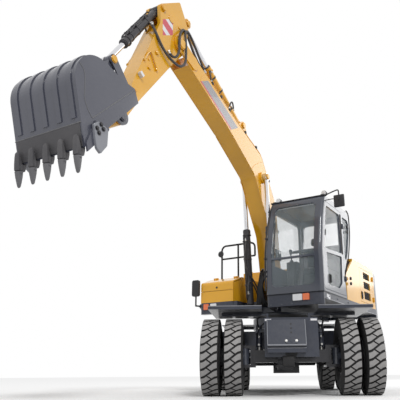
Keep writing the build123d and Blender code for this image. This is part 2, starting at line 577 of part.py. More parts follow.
def body():
    left = plate([(10, DECK_TOP + SEAT), (30, 1930), (-400, HOOD_TOP - HOOD_DEPTH - SEAT), (-TAIL_START_Y + RUN, HOOD_TOP - HOOD_DEPTH - SEAT),
                  (-TAIL_START_Y + RUN, DECK_TOP + SEAT)], (SIDE_X - PANEL, SIDE_X))
    right = block((-SIDE_X, -SIDE_X + PANEL), (TANK_REAR_Y, TAIL_START_Y - RUN), (DECK_TOP + SEAT, HOOD_TOP - HOOD_DEPTH - SEAT))
    wall = block((-SIDE_X + PANEL, SIDE_X - PANEL), (TANK_REAR_Y, TANK_REAR_Y + 20), (DECK_TOP + SEAT, HOOD_TOP - HOOD_DEPTH - SEAT))
    cowl_z = (HOOD_TOP - HOOD_DEPTH - SEAT - 1, HOOD_TOP)
    cowl = block((-SIDE_X, SIDE_X), (TANK_REAR_Y, HOOD_FRONT_Y - RUN), cowl_z)
    cowl += block((CAB_X[0], SIDE_X), (COWL_FRONT_Y, TANK_REAR_Y), cowl_z)
    panels = fuse([left, right, wall, cowl])
    y, z = SIDE_DOOR_Y, SIDE_DOOR_Z
    hole = block((SIDE_X - PANEL - 1, SIDE_X + 1), (y[0] - RUN, y[1] + RUN), (z[0] - RUN, z[1] + RUN))
    panels -= hole
    panels -= mirrored(hole)
    door = block((SIDE_X - PANEL, SIDE_X), y, z)
    louvres = []
    for row in LOUVRE_ROWS:
        door -= rounded_block((SIDE_X - PANEL - 1, SIDE_X + 1), LOUVRE_Y, row, 18, Axis.X)
        louvre = rounded_block((SIDE_X - PANEL, SIDE_X - PANEL + 6), (LOUVRE_Y[0] + SEAT, LOUVRE_Y[1] - SEAT),
                               (row[0] + SEAT, row[1] - SEAT), 18, Axis.X)
        for i in range(int((row[1] - row[0]) / SLAT_SPACING)):
            slat = Box(30, LOUVRE_Y[1] - LOUVRE_Y[0] - 30, 4)
            height = row[0] + SLAT_SPACING * (i + 0.5)
            louvre += Pos(SIDE_X - 15, sum(LOUVRE_Y) / 2, height) * (Rot(0, 38, 0) * slat)
        louvres.append(louvre & block((SIDE_X - PANEL, SIDE_X - 3), LOUVRE_Y, row))
    keep("left_louvres", *louvres, turned=True)
    keep("right_louvres", *[mirrored(louvre) for louvre in louvres], turned=True)
    for height in (z[0] + 110, z[1] - 110):
        axis = (SIDE_DOOR_HINGE[0], SIDE_DOOR_HINGE[1], height)
        still = block((SIDE_X - 5, axis[0]), (axis[1], axis[1] + 40), (height - 45, height - 17))
        still += block((SIDE_X - 5, axis[0]), (axis[1], axis[1] + 40), (height + 17, height + 45))
        moving = block((SIDE_X - 5, axis[0]), (axis[1] - 40, axis[1]), (height - 15, height + 15))
        fixed, turning = hinge(axis, (0, 0, 1), still, moving)
        panels = panels + fixed + mirrored(fixed)
        door += turning
    width = SIDE_X - 150
    hood = block((-SIDE_X, SIDE_X), (HOOD_FRONT_Y, TAIL_START_Y - RUN), (HOOD_TOP - HOOD_DEPTH, HOOD_TOP))
    for x in (-width, width):
        axis = (x, HOOD_FRONT_Y - RUN / 2, HOOD_TOP + 14)
        still = block((x - 45, x + 45), (axis[1] - 40, axis[1]), (HOOD_TOP - 5, axis[2]))
        still -= block((x - 17, x + 17), (axis[1] - 14, axis[1] + 1), (HOOD_TOP - 6, axis[2] + 1))
        moving = block((x - 15, x + 15), (axis[1] + 4, axis[1] + 40), (HOOD_TOP - 5, axis[2]))
        fixed, turning = hinge(axis, (1, 0, 0), still, moving)
        panels += fixed
        hood += turning
    keep("side_panels", panels, turned=True)
    keep("left_side_door", door, turned=True)
    keep("right_side_door", mirrored(door), turned=True)
    keep("engine_hood", hood, turned=True)
    plan = Rectangle(2 * SIDE_X, TAIL_Y - TAIL_START_Y)
    plan = fillet(plan.vertices().sort_by(Axis.Y)[2:], TAIL_CORNER)
    weight = Pos(0, (TAIL_Y + TAIL_START_Y) / 2, 1330) * extrude(plan, HOOD_TOP - 30 - 1330)
    rim = [edge for edge in weight.edges().group_by(Axis.Z)[-1] if edge.center().Y > TAIL_START_Y + 1]
    weight = fillet(rim, 70)
    weight -= plate([(-1950, 1300), (-TAIL_Y - 50, 1300), (-TAIL_Y - 50, 1640)], (-SIDE_X - 1, SIDE_X + 1))
    for x in TAIL_LAMPS:
        weight -= block(x, (TAIL_Y - 20, TAIL_Y + 1), (1850, 1920))
    keep("counterweight", weight, turned=True)
    keep("engine", block((-650, 250), (950, 1600), (DECK_TOP + SEAT, 2150)), turned=True)
    tank = block((BOX_X[0], BOX_X[1]), (BOX_REAR_Y + SEAT, TANK_REAR_Y - SEAT), (DECK_TOP + SEAT, BOX_TOP))
    keep("tanks", tank, turned=True)


def tool_box():
    outer = [(-BOX_REAR_Y, DECK_TOP + SEAT), (-BOX_FRONT_Y, DECK_TOP + SEAT), (-BOX_FRONT_Y, BOX_FRONT_TOP),
             (-BOX_SLOPE_Y, BOX_TOP), (-BOX_REAR_Y, BOX_TOP)]
    box = plate(outer, BOX_X)
    hollow = plate([(-BOX_REAR_Y + 40, DECK_TOP + 25), (-BOX_FRONT_Y - 25, DECK_TOP + 25), (-BOX_FRONT_Y - 25, 2100),
                    (-BOX_SLOPE_Y + 10, 2100), (-BOX_SLOPE_Y + 10, 1700), (-BOX_REAR_Y + 40, 1700)],
                   (BOX_X[0] + 25, BOX_X[1] - 25))
    lid_cut = plate([(-BOX_FRONT_Y + 5, 1690), (-BOX_FRONT_Y - 30, 1690), (-BOX_FRONT_Y - 30, 1820), (-BOX_SLOPE_Y, 1925),
                     (-BOX_SLOPE_Y, 2050), (-BOX_FRONT_Y + 5, 2050)], (BOX_X[0] - 5, BOX_X[1] + 5))
    box = box - hollow - lid_cut
    lid_outline = [
        # forward, height, radius of the corner
        (-BOX_FRONT_Y, 1696, 0),
        (-BOX_FRONT_Y, BOX_FRONT_TOP, 60),
        (-BOX_SLOPE_Y + 8, BOX_TOP, 0),
        (-BOX_SLOPE_Y + 8, 1934, 0),
        (-BOX_FRONT_Y - 20, 1830, 40),
        (-BOX_FRONT_Y - 20, 1696, 0),
    ]
    lid = across(soft_side(lid_outline), BOX_X)
    for x in (BOX_X[0] + 120, BOX_X[1] - 120):
        axis = (x, BOX_SLOPE_Y - 4, BOX_TOP + 14)
        still = block((x - 45, x + 45), (axis[1], axis[1] + 40), (BOX_TOP - 5, axis[2]))
        still -= block((x - 17, x + 17), (axis[1] - 1, axis[1] + 14), (BOX_TOP - 6, axis[2] + 1))
        moving = block((x - 15, x + 15), (axis[1] - 24, axis[1] - 4), (BOX_TOP - 14, axis[2]))
        fixed, turning = hinge(axis, (1, 0, 0), still, moving)
        box += fixed
        lid += turning
    keep("tool_box", box, turned=True)
    keep("tool_box_lid", lid, turned=True)


def fittings():
    rail = Plane.XZ.offset(-RAIL_Y)
    foot_z = BOX_TOP + SEAT
    loop = pipe(rail, [(-1040, foot_z), (-1040, 2610), (-330, 2610), (-330, 2360)], (90, 90), RAIL_RADIUS)
    post = bar((-685, RAIL_Y, foot_z), (-685, RAIL_Y, 2610), RAIL_RADIUS)
    middle = bar((-1040, RAIL_Y, 2360), (-330, RAIL_Y, 2360), RAIL_RADIUS - 1)
    keep("handrails", fuse([loop, post, middle]), turned=True)
    foot = block((-SIDE_X - 30, -SIDE_X - SEAT), (-890, -830), (DECK_TOP - 80, DECK_TOP - 10))
    right_arm = bar((-1235, -860, DECK_TOP - 40), (-1290, -960, DECK_TOP - 40), 14)
    right_stem = bar((-1290, -960, DECK_TOP - 50), (-1290, -960, 1700), 14)
    right_head = rounded_block((-1362, -1212), (-990, -945), (1620, 1912), 35, Axis.Y)
    keep("mirror_right", fuse([foot, right_arm, right_stem, right_head]), turned=True)
    head = rounded_block((MIRROR_X - 90, MIRROR_X + 90), (-1085, -1045), (2830, 3040), 30, Axis.Y)
    bars = [
        bar((1150, -880, CAB_ROOF + SEAT), (1150, -880, 3205), 12),
        bar((1150, -880, 3195), (MIRROR_X, -1065, 3195), 12),
        bar((MIRROR_X, -1065, 3205), (MIRROR_X, -1065, 3030), 12),
    ]
    keep("mirror_left", fuse([head] + bars), turned=True)


def lamps():
    """Lamps in their housings; a lens stands just proud of what carries it."""
    white, orange, housings = [], [], []
    for x, y, lens in (
        ((722, 880), -1215, white),
        ((890, 1000), -1215, orange),
        ((-990, -870), -930, white),
        ((-1130, -1030), -930, orange),
    ):
        lens.append(rounded_block(x, (y - 22, y - SEAT), (LAMP_Z - 50, LAMP_Z + 50), 12, Axis.Y))
    for x in (350, 1200):
        housings.append(fuse([
            bar((x, -800, CAB_ROOF + SEAT), (x, -800, 3200), 10),
            bar((x, -780, 3195), (x, -845, 3195), 44),
        ]))
        white.append(bar((x, -845 - SEAT, 3195), (x, -858, 3195), 40))
    housings.append(rounded_block((400, 1090), (-700, 180), (CAB_ROOF + SEAT, 3185), 80, Axis.Z))
    red = [block((x[0] + SEAT, x[1] - SEAT), (TAIL_Y - 20 + SEAT, TAIL_Y - 4), (1850 + SEAT, 1920 - SEAT))
           for x in TAIL_LAMPS]
    keep("lamps", *white, turned=True)
    keep("marker_lamps", *orange, turned=True)
    keep("tail_lamps", *red, turned=True)
    keep("cab_fittings", *housings, turned=True)


# Boom, stick, bucket and their cylinders
def unit(start, end):
    length = hypot(end[0] - start[0], end[1] - start[1])
    return ((end[0] - start[0]) / length, (end[1] - start[1]) / length), length


STICK_ALONG, STICK_LENGTH = unit(TIP, ELBOW)


def on_stick(u, v):
    """A point of the boom plane from its place on the stick: u from the tip to the elbow, v to the front."""
    across_way = (STICK_ALONG[1], -STICK_ALONG[0])
    return (
        TIP[0] + STICK_ALONG[0] * u + across_way[0] * v,
        TIP[1] + STICK_ALONG[1] * u + across_way[1] * v,
    )


IDLER_PIN = on_stick(*IDLER_U_V)


def boom():
    outline = [
        # forward, height, radius of the corner
        (232, 1760, 40),
        (330, 2350, 1500),
        (420, 3240, 350),
        (985, 4060, 350),
        (1948, 4376, 2500),
        (2934, 4785, 800),
        (3440, 4985, 40),
        (3480, 4740, 40),
        (2087, 4090, 2500),
        (1230, 3590, 500),
        (650, 2640, 700),
        (487, 1770, 40),
    ]
    beam = across(soft_side(outline), (-BOOM_HALF, BOOM_HALF))
    foot = disc(FOOT, 130, (-BOOM_HALF, BOOM_HALF))
    slot = disc(ELBOW, ELBOW_ROOM, (-STICK_HALF - RUN, STICK_HALF + RUN))
    cheeks = [capsule((3200, 4760), ELBOW, 110, 135, x) for x in both_sides((STICK_HALF + RUN, BOOM_HALF + 18))]
    boss = disc(LIFT_EYE, 105, (-BOOM_HALF - 35, BOOM_HALF + 35))
    lift_pin = disc(LIFT_EYE, 36, (-LIFT_CYLINDER_X + 42, LIFT_CYLINDER_X - 42))
    lugs = [
        plate([(1330, 4180), (1500, 4480), (1620, 4480), (1830, 4330)], x) + disc(STICK_BASE, 75, x)
        for x in both_sides((70, 98))
    ]
    hub = disc(FOOT, FOOT_PIN + PIN_RUN, (-BOOM_HALF - 1, BOOM_HALF + 1))
    elbow_pin = disc(ELBOW, ELBOW_PIN, (-BOOM_HALF - 30, BOOM_HALF + 30))
    crowd_pin = disc(STICK_BASE, CROWD_PIN, (-106, 106))
    whole = fuse([beam - slot, foot, boss, lift_pin, elbow_pin, crowd_pin] + lugs + cheeks) - hub
    keep("boom", whole, arm=True)
    pipes = []
    for x in (-PIPE_X, PIPE_X):
        side = Plane(origin=(x, 0, 0), x_dir=(0, -1, 0), z_dir=(-1, 0, 0))
        line = pipe(side, BOOM_PIPE, (1500, 350, 350, 1500), 11)
        for a, b, inward in PIPE_CLAMPS:
            line += disc((a, b), 19, (x - 20, x + 20))
            line += bar((x, -a, b), (x, -a - inward[0], b + inward[1]), 16)
        pipes.append(line - whole)
    keep("boom_pipes", *pipes, arm=True)
    lamp = rounded_block((20, 90), (-975, -915), (3980, 4105), 12, Axis.X) - whole
    keep("boom_lamp", lamp, arm=True)


def cylinder(name, base, eye, sizes, pin, xs=(0,)):
    """Barrel and rod of a cylinder between its two pins."""
    barrel_radius, rod_radius, base_half, eye_half, bore_start, rod_start, barrel_end = sizes
    way, length = unit(base, eye)

    def stretch(low, high, radius, x):
        start, end = [(base[0] + way[0] * place, base[1] + way[1] * place) for place in (low, high)]
        return bar(point(start, x), point(end, x), radius)

    barrels, rods = [], []
    for x in xs:
        barrel = stretch(60, barrel_end, barrel_radius, x)
        barrel += stretch(barrel_end - 75, barrel_end + 15, barrel_radius + 7, x)
        barrel += disc(base, barrel_radius + 8, (x - base_half, x + base_half))
        barrel -= stretch(bore_start, barrel_end + 16, rod_radius + PIN_RUN, x)
        barrel -= disc(base, pin + PIN_RUN, (x - base_half - 1, x + base_half + 1))
        rod = stretch(rod_start, length, rod_radius, x)
        rod += disc(eye, rod_radius + 30, (x - eye_half, x + eye_half))
        barrels.append(barrel)
        rods.append(rod)
    keep(name + "_barrel", *barrels, arm=True)
    keep(name + "_rod", *rods, arm=True)


def stick():
    outline = [
        # place along the stick from its tip, place to the front, radius of the corner
        (-40, -78, 40),
        (501, -62, 900),
        (1613, -105, 900),
        (2000, -140, 100),
        (2130, -125, 80),
        (2490, 45, 40),
        (2570, 230, 60),
        (2649, 434, 25),
        (2110, 622, 50),
        (2035, 560, 60),
        (1880, 436, 120),
        (1700, 400, 300),
        (800, 213, 120),
        (450, 125, 200),
        (-40, 82, 40),
    ]
    outline = [(*on_stick(u, v), radius) for u, v, radius in outline]
    beam = across(soft_side(outline), (-STICK_HALF, STICK_HALF))
    tip = disc(TIP, 76, (-EAR_X[0] + RUN, EAR_X[0] - RUN)) + disc(TIP, 90, (-STICK_HALF, STICK_HALF))
    elbow = disc(ELBOW, 150, (-STICK_HALF, STICK_HALF))
    nose = disc(IDLER_PIN, 78, (-STICK_HALF, STICK_HALF))
    fork_room = plate([on_stick(*uv) for uv in ((1640, 398), (2240, 398), (2240, 720), (1640, 720))], (-75, 75))
    lugs = [capsule(on_stick(2470, 170), STICK_EYE, 110, 78, x) for x in both_sides((56, 86))]
    whole = fuse([beam, elbow, nose] + lugs) - fork_room
    whole -= disc(ELBOW, ELBOW_PIN + PIN_RUN, (-STICK_HALF - 1, STICK_HALF + 1))
    whole += tip
    whole -= disc(TIP, TIP_PIN + PIN_RUN, (-EAR_X[0], EAR_X[0]))
    whole += disc(CURL_BASE, CURL_PIN, (-STICK_HALF - 12, STICK_HALF + 12))
    whole += disc(STICK_EYE, CROWD_PIN - 2, (-94, -54)) + disc(STICK_EYE, CROWD_PIN - 2, (54, 94))
    whole += disc(IDLER_PIN, IDLER_PIN_RADIUS, (-LINK_X[1] - 4, LINK_X[1] + 4))
    keep("stick", whole, arm=True)
    lamp = plate([on_stick(*uv) for uv in ((780, 120), (825, 120), (825, 195), (780, 195))],
                 (STICK_HALF + SEAT, STICK_HALF + 50))
    keep("stick_lamp", lamp, arm=True)


def links():
    links = []
    for x in both_sides(LINK_X):
        link = capsule(IDLER_PIN, CURL_EYE, 62, 66, x)
        link -= disc(IDLER_PIN, IDLER_PIN_RADIUS + PIN_RUN, (x[0] - 1, x[1] + 1))
        pin = (54, x[1]) if x[0] > 0 else (x[0], -54)
        links.append(link + disc(CURL_EYE, 38, pin))
    keep("idler_links", *links, arm=True)


def bucket_link():
    arms = [capsule(CURL_EYE, BUCKET_EYE, 62, 50, x) for x in both_sides((54, STICK_HALF - 4))]
    middle = [(near + far) / 2 for near, far in zip(CURL_EYE, BUCKET_EYE)]
    web = disc(middle, 40, (-60, 60))
    whole = fuse(arms + [web]) - disc(CURL_EYE, 38 + PIN_RUN, (-200, 200))
    keep("bucket_link", whole, arm=True)


def bucket():
    outline = [
        # forward, height, radius of the corner
        (4747, 3244, 0),
        (4823, 3392, 0),
        (5031, 3402, 200),
        (5854, 3605, HEEL_RADIUS),
        (5482, 2409, 0),
        (5216, 2709, 0),
    ]
    side = soft_side(outline)
    inner_x = BUCKET_HALF - BUCKET_PLATE
    mouth = plate([(4764, 3297), (4700, 3230), (5190, 2640), (5455, 2330), (5461, 2416), (5262, 2770), (4850, 3290)],
                  (-inner_x, inner_x))
    shell = across(side, (-BUCKET_HALF, BUCKET_HALF))
    shell -= across(offset(side, amount=-BUCKET_PLATE), (-inner_x, inner_x)) + mouth
    heel = plate([(5200, 3600), (5900, 3600), (5900, 2700), (5500, 2700), (5300, 3200)], (-BUCKET_HALF, BUCKET_HALF))
    raised = offset(side, amount=12)
    bands = []
    for i in range(5):
        x = (i - 2) * BAND_SPACING
        bands.append((across(raised, (x - 32, x + 32)) - across(side, (x - 33, x + 33))) & heel)
    cutter = [(5455, 2370), (5215, 2660), (5190, 2715), (5245, 2800), (5381, 2742), (5482, 2450)]
    cutters = [plate(cutter, x) for x in both_sides((BUCKET_HALF - 1, BUCKET_HALF + 20))]
    ears = []
    for x in both_sides(EAR_X):
        ear = plate([(4625, 3265), (4830, 3545), (4960, 3520), (5280, 3482), (5240, 3448), (5031, 3392), (4823, 3384),
                     (4760, 3240), (4735, 3105)], x)
        ears.append(fuse([ear, disc(TIP, 100, x), disc(BUCKET_EYE, 72, x)]))
    pin = disc(TIP, TIP_PIN, (-EAR_X[1] - 8, EAR_X[1] + 8))
    whole = fuse([shell, pin] + ears + cutters)
    for band in bands:
        whole += band
    keep("bucket", whole, arm=True)
    profile = [(5455, 2430), (5500, 2440), (5575, 2610), (5602, 2600), (5530, 2350), (TEETH[0] + 12, TEETH[1]),
               (TEETH[0] - 12, TEETH[1]), (5425, 2330)]
    front = make_face(Polyline((-46, 2650), (46, 2650), (40, 2330), (24, TEETH[1] - 5), (-24, TEETH[1] - 5), (-40, 2330),
                               close=True))
    taper = Pos(0, -5200, 0) * (Plane.XZ * front)
    taper = extrude(taper, 500)
    teeth = []
    for i in range(5):
        x = (i - 2) * TOOTH_SPACING
        tooth = plate(profile, (x - 50, x + 50)) & (Pos(x, 0, 0) * taper)
        teeth.append(tooth - whole)
    keep("bucket_teeth", *teeth, arm=True)


chassis()
fenders()
steps()
front_axle()
for wheel_side in (-1, 1):
    knuckle(wheel_side)
rear_axle()
drive_line()
for axle, axle_y in (("front", FRONT_AXLE_Y), ("rear", REAR_AXLE_Y)):
    wheel(axle + "_left", 1, axle_y)
    wheel(axle + "_right", -1, axle_y)
upper_frame()
cab()
cab_inside()
body()
tool_box()
fittings()
lamps()
boom()
cylinder("lift", LIFT_BASE, LIFT_EYE, LIFT_CYLINDER, LIFT_PIN, (-LIFT_CYLINDER_X, LIFT_CYLINDER_X))
cylinder("crowd", STICK_BASE, STICK_EYE, STICK_CYLINDER, CROWD_PIN)
cylinder("curl", CURL_BASE, CURL_EYE, CURL_CYLINDER, CURL_PIN)
stick()
links()
bucket_link()
bucket()

os.makedirs("parts", exist_ok=True)
for part_name, part in PARTS.items():
    export_step(part, "parts/" + part_name + ".step")
print(len(PARTS), "sub-parts")
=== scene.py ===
# %% [markdown]
# # A wheeled excavator with its boom raised
#
# The jointed CAD model is loaded first and stays as it is. Each cell after that gives a group of its
# pieces a finish, or adds a piece that the CAD model leaves to this script: tyre treads, bolts, hoses,
# seals and the like. The last cells set the floor, the lights and the camera.

# %% Load the frame
import json
import math

import bmesh
import bpy
from mathutils import Matrix, Vector


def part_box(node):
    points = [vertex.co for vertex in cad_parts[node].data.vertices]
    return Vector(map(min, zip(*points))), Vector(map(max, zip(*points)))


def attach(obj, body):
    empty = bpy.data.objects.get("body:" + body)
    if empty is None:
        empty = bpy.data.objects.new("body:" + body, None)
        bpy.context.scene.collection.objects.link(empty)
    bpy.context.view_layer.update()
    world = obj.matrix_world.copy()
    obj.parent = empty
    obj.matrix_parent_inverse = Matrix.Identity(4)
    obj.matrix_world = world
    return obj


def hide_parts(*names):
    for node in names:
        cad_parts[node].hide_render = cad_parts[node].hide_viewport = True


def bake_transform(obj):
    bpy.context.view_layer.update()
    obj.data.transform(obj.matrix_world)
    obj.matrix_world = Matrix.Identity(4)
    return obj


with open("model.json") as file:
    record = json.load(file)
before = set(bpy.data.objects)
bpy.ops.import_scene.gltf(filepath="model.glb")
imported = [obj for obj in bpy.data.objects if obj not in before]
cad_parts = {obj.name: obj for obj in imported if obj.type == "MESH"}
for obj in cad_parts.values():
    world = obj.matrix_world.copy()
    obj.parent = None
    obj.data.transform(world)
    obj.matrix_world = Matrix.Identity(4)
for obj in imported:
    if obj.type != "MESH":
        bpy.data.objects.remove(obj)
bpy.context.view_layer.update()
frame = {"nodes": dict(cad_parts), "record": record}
nodes = frame["nodes"]

# %% [markdown]
# ## Where things are
#
# The upper structure is turned on the undercarriage, and the boom stands a little to the right of its
# middle. Pieces are easier to write in the frame of what carries them, so each such frame is a matrix.
# Lengths are in metres, and in the upper structure's own frame the front is -Y.

# %% Frames of the upper structure, the boom and the stick
SWING = math.radians(-26.8)
BOOM_X = -0.05
UPPER = Matrix.Rotation(SWING, 4, "Z")
BOOM = UPPER @ Matrix.Translation((BOOM_X, 0, 0))
STICK_TIP = Vector((0, -4.680, 3.180))
STICK_ELBOW = Vector((0, -3.540, 4.880))
along_stick = (STICK_ELBOW - STICK_TIP).normalized()
across_stick = Vector((0, -along_stick.z, along_stick.y))
HANDS = (-1, 1)  # right, left


def side(forward, height, x=0.0):
    """A place in the plane of the boom, in the frame of whatever carries it."""
    return Vector((x, -forward, height))


def frame_of(place, *axes):
    """A frame at a place, with its x, y and z along three axes."""
    return Matrix.Translation(place) @ Matrix(axes).transposed().to_4x4()


def circle(count, radius, start=0.0):
    """Places evenly round a circle, as pairs; start is a share of one step."""
    turns = [2 * math.pi * (i + start) / count for i in range(count)]
    return [(radius * math.cos(turn), radius * math.sin(turn)) for turn in turns]


def mirrored(route, hand):
    """A route on the left side, or its mirror image when hand is -1."""
    return [(hand * x, y, z) for x, y, z in route]


def hoop(x_low, x_high, y, low, high):
    """The route of a handle that stands on a flat top."""
    return [(x_low, y, low), (x_low, y, high), (x_high, y, high), (x_high, y, low)]


def rectangle(x, z, low=0.0, high=None):
    """Corners of an upright rectangle, with its roundings below and above."""
    high = low if high is None else high
    return [(x[0], z[0], low), (x[1], z[0], low), (x[1], z[1], high), (x[0], z[1], high)]


STICK = BOOM @ frame_of(STICK_TIP, Vector((1, 0, 0)), along_stick, across_stick)
print("stick", round((STICK_ELBOW - STICK_TIP).length, 3), "m from its tip to its elbow")


# %% [markdown]
# ## Shader maths
#
# A finish is a small tree of nodes. Wrapping a socket in a class lets the maths be written as Python, so
# that `dust * 0.5 + 0.3` adds its own Math nodes.


# %% A finish and the values in it
class Value:
    """An output of a shader node that can be added, multiplied and so on."""

    def __init__(self, finish, socket):
        self.finish = finish
        self.socket = socket

    def maths(self, operation, *others, first=None, clamp=False):
        values = ([self] if first is None else [first, self]) + list(others)
        settings = {"operation": operation, "use_clamp": clamp}
        return self.finish.node("ShaderNodeMath", settings, dict(enumerate(values)))

    def __add__(self, other):
        return self.maths("ADD", other)

    def __sub__(self, other):
        return self.maths("SUBTRACT", other)

    def __rsub__(self, other):
        return self.maths("SUBTRACT", first=other)

    def __mul__(self, other):
        return self.maths("MULTIPLY", other)

    __radd__ = __add__
    __rmul__ = __mul__

    def clamped(self):
        return self.maths("ADD", 0.0, clamp=True)

    def between(self, low, high):
        """0 below low, 1 above high, and even in between."""
        return ((self - low) * (1 / (high - low))).clamped()


class Finish:
    """A material or the world, its nodes and its shader."""

    def __init__(self, name, world=False):
        self.material = bpy.data.worlds.new(name) if world else bpy.data.materials.new(name)
        self.material.use_nodes = True
        self.tree = self.material.node_tree
        self.shader = self.tree.nodes["Background" if world else "Principled BSDF"]

    def node(self, kind, settings=None, inputs=None, output=0):
        made = self.tree.nodes.new(kind)
        for key, value in (settings or {}).items():
            setattr(made, key, value)
        for key, value in (inputs or {}).items():
            self.feed(made.inputs[key], value)
        return Value(self, made.outputs[output])

    def feed(self, socket, value):
        if isinstance(value, Value):
            self.tree.links.new(value.socket, socket)
        else:
            socket.default_value = value

    def set(self, **values):
        for key, value in values.items():
            self.feed(self.shader.inputs[key.replace("_", " ")], value)

    def place(self, stretch=(1, 1, 1)):
        coordinates = self.node("ShaderNodeTexCoord", output=3)
        return self.node("ShaderNodeMapping", None, {"Vector": coordinates, "Scale": stretch})

    def noise(self, scale, detail=4.0, rough=0.55, stretch=(1, 1, 1)):
        inputs = {"Vector": self.place(stretch), "Scale": scale, "Detail": detail, "Roughness": rough}
        return self.node("ShaderNodeTexNoise", None, inputs)

    def mix(self, factor, low, high):
        """A colour between two; a colour written as three numbers is opaque."""
        pair = [v if isinstance(v, Value) else (*v, 1) for v in (low, high)]
        return self.node("ShaderNodeMix", {"data_type": "RGBA"}, {0: factor, 6: pair[0], 7: pair[1]}, 2)

    def facing_up(self):
        normal = self.node("ShaderNodeNewGeometry", output=1)
        return self.node("ShaderNodeSeparateXYZ", None, {0: normal}, 2)

    def relief(self, height, strength, distance):
        inputs = {"Height": height, "Strength": strength, "Distance": distance}
        self.set(Normal=self.node("ShaderNodeBump", None, inputs))


# %% [markdown]
# ## Paint
#
# The machine is sprayed in a few coats of gloss or satin enamel. Up close such paint isn't one colour: it
# is slightly uneven in tone, carries a fine orange-peel ripple, and dust settles on what faces up. A finish
# can also darken what faces down, as painted shade on the undersides.


# %% Painted metal
DUST = (0.42, 0.39, 0.35)


def paint(name, colour, rough, coat=0.0, dust=0.1, below=1.0, peel=0.04):
    """Enamel; below is how much of the colour is left on undersides as painted shade, peel the height of its ripple.
    """
    finish = Finish(name)
    broad = finish.noise(1.6, 3.0)
    fine = finish.noise(19.0, 6.0, 0.65)
    tone = finish.mix(broad.between(0.35, 0.65), [c * 0.93 for c in colour], [min(c * 1.05, 1) for c in colour])
    up = finish.facing_up()
    settled = (broad * 0.5 + fine * 0.5).between(0.42, 0.68) * (up.between(-0.2, 1.0) * 0.7 + 0.3) * dust
    tone = finish.mix(settled, tone, DUST)
    # Painted shade: what faces down is darkened to below times the colour.
    if below < 1.0:
        tone = finish.mix((up * -1.0).between(0.25, 0.8), tone, [c * below for c in colour])
    finish.set(Base_Color=tone, Roughness=(fine * 0.08 + settled * 0.4 + (rough - 0.04)).clamped())
    finish.set(Coat_Weight=coat, Coat_Roughness=0.12, Coat_IOR=1.5, Specular_IOR_Level=0.2)
    finish.relief(finish.noise(240.0, 2.0), peel, 0.001)
    return finish.material


YELLOW = paint("yellow enamel", (0.80, 0.400, 0.008), 0.38, coat=1.0, dust=0.03)
GREY = paint("dark grey enamel", (0.058, 0.066, 0.088), 0.42, coat=1.0, dust=0.08)
# Its undersides are darkened to a tenth of the colour: painted shade.
FRAME_GREY_WITH_UNDERSIDE_SHADE = paint("chassis grey enamel with painted underside shade", (0.034, 0.040, 0.060), 0.42, coat=0.5, dust=0.12, below=0.10)
ARM_GREY = paint("arm grey enamel", (0.072, 0.076, 0.104), 0.42, coat=1.0, dust=0.08)
AXLE_BLACK = paint("axle black enamel", (0.026, 0.026, 0.032), 0.4, coat=0.5, dust=0.08)
# Pale grey: the side cutters' own colour, and a painted highlight on thin rods along plate edges.
PALE_GREY_AND_EDGE_HIGHLIGHT = paint("pale grey and painted edge highlight", (0.26, 0.27, 0.30), 0.4, coat=0.5, dust=0.1)
CYLINDER_GREY = paint("cylinder grey enamel", (0.045, 0.043, 0.048), 0.4, coat=0.2, dust=0.12)
WHEEL_GREY = paint("wheel grey enamel", (0.11, 0.11, 0.12), 0.5, dust=0.4)
RAIL_BLACK = paint("rail black enamel", (0.02, 0.02, 0.022), 0.4, dust=0.1)
BLOCK_IRON = paint("cast iron", (0.09, 0.09, 0.09), 0.65, dust=0.2, peel=0.3)
WEAR_STEEL = paint("tooth steel", (0.10, 0.098, 0.105), 0.5, dust=0.2, peel=0.2)
WORN_STEEL = paint("worn steel", (0.17, 0.17, 0.18), 0.4, dust=0.2, peel=0.3)

# %% [markdown]
# ## Rubber, glass, chrome and plastics
#
# The tyres are nearly new: black in the grooves and on the walls, and pale with dry dust on the blocks
# that meet the road. Chrome is a bare metal with a very smooth surface. Window glass is thin, so it is
# made partly see-through with a coat that mirrors the sky, which is quicker than true refraction.


# %% Rubber
def rubber(name, colour, dust_colour, dust, grain=0.25):
    finish = Finish(name)
    patches = (finish.noise(7.0, 5.0, 0.6) * 0.5 + finish.noise(60.0, 4.0) * 0.5).between(0.35, 0.65)
    finish.set(Base_Color=finish.mix(patches * dust, colour, dust_colour), Roughness=patches * 0.15 + 0.72)
    finish.relief(finish.noise(150.0, 5.0, 0.7), grain, 0.002)
    return finish.material


TYRE_WALL = rubber("tyre wall", (0.012, 0.012, 0.013), (0.06, 0.058, 0.056), 0.5)
TYRE_BLOCK = rubber("tyre blocks", (0.27, 0.265, 0.265), (0.42, 0.41, 0.40), 0.8, 0.5)
HOSE_RUBBER = rubber("hose rubber", (0.014, 0.014, 0.016), (0.07, 0.07, 0.07), 0.4, 0.15)
HOSE_GREY = rubber("grey hose", (0.055, 0.052, 0.052), (0.14, 0.13, 0.13), 0.5, 0.12)
SEAL_AND_SHADE_RUBBER = rubber("seal rubber and painted shade", (0.010, 0.010, 0.011), (0.03, 0.03, 0.03), 0.4, 0.1)


# %% Metal, plastic and glass
def smooth(name, colour, rough, metal=0.0, coat=0.0, streaks=0.1):
    finish = Finish(name)
    marks = finish.noise(30.0, 5.0, 0.6, (1, 1, 0.2)).between(0.4, 0.7) * streaks
    finish.set(Base_Color=finish.mix(marks, colour, [c * 0.7 for c in colour]), Roughness=marks * 0.5 + rough)
    finish.set(Metallic=metal, Coat_Weight=coat, Coat_Roughness=0.05)
    return finish.material


def clear(name, tint, alpha):
    finish = Finish(name)
    grime = finish.noise(3.0, 5.0, 0.6).between(0.4, 0.7)
    finish.set(Base_Color=(*tint, 1), Roughness=grime * 0.03 + 0.02, Alpha=grime * 0.05 + alpha)
    finish.set(Coat_Weight=1.0, Coat_Roughness=0.02, Coat_IOR=1.6)
    return finish.material


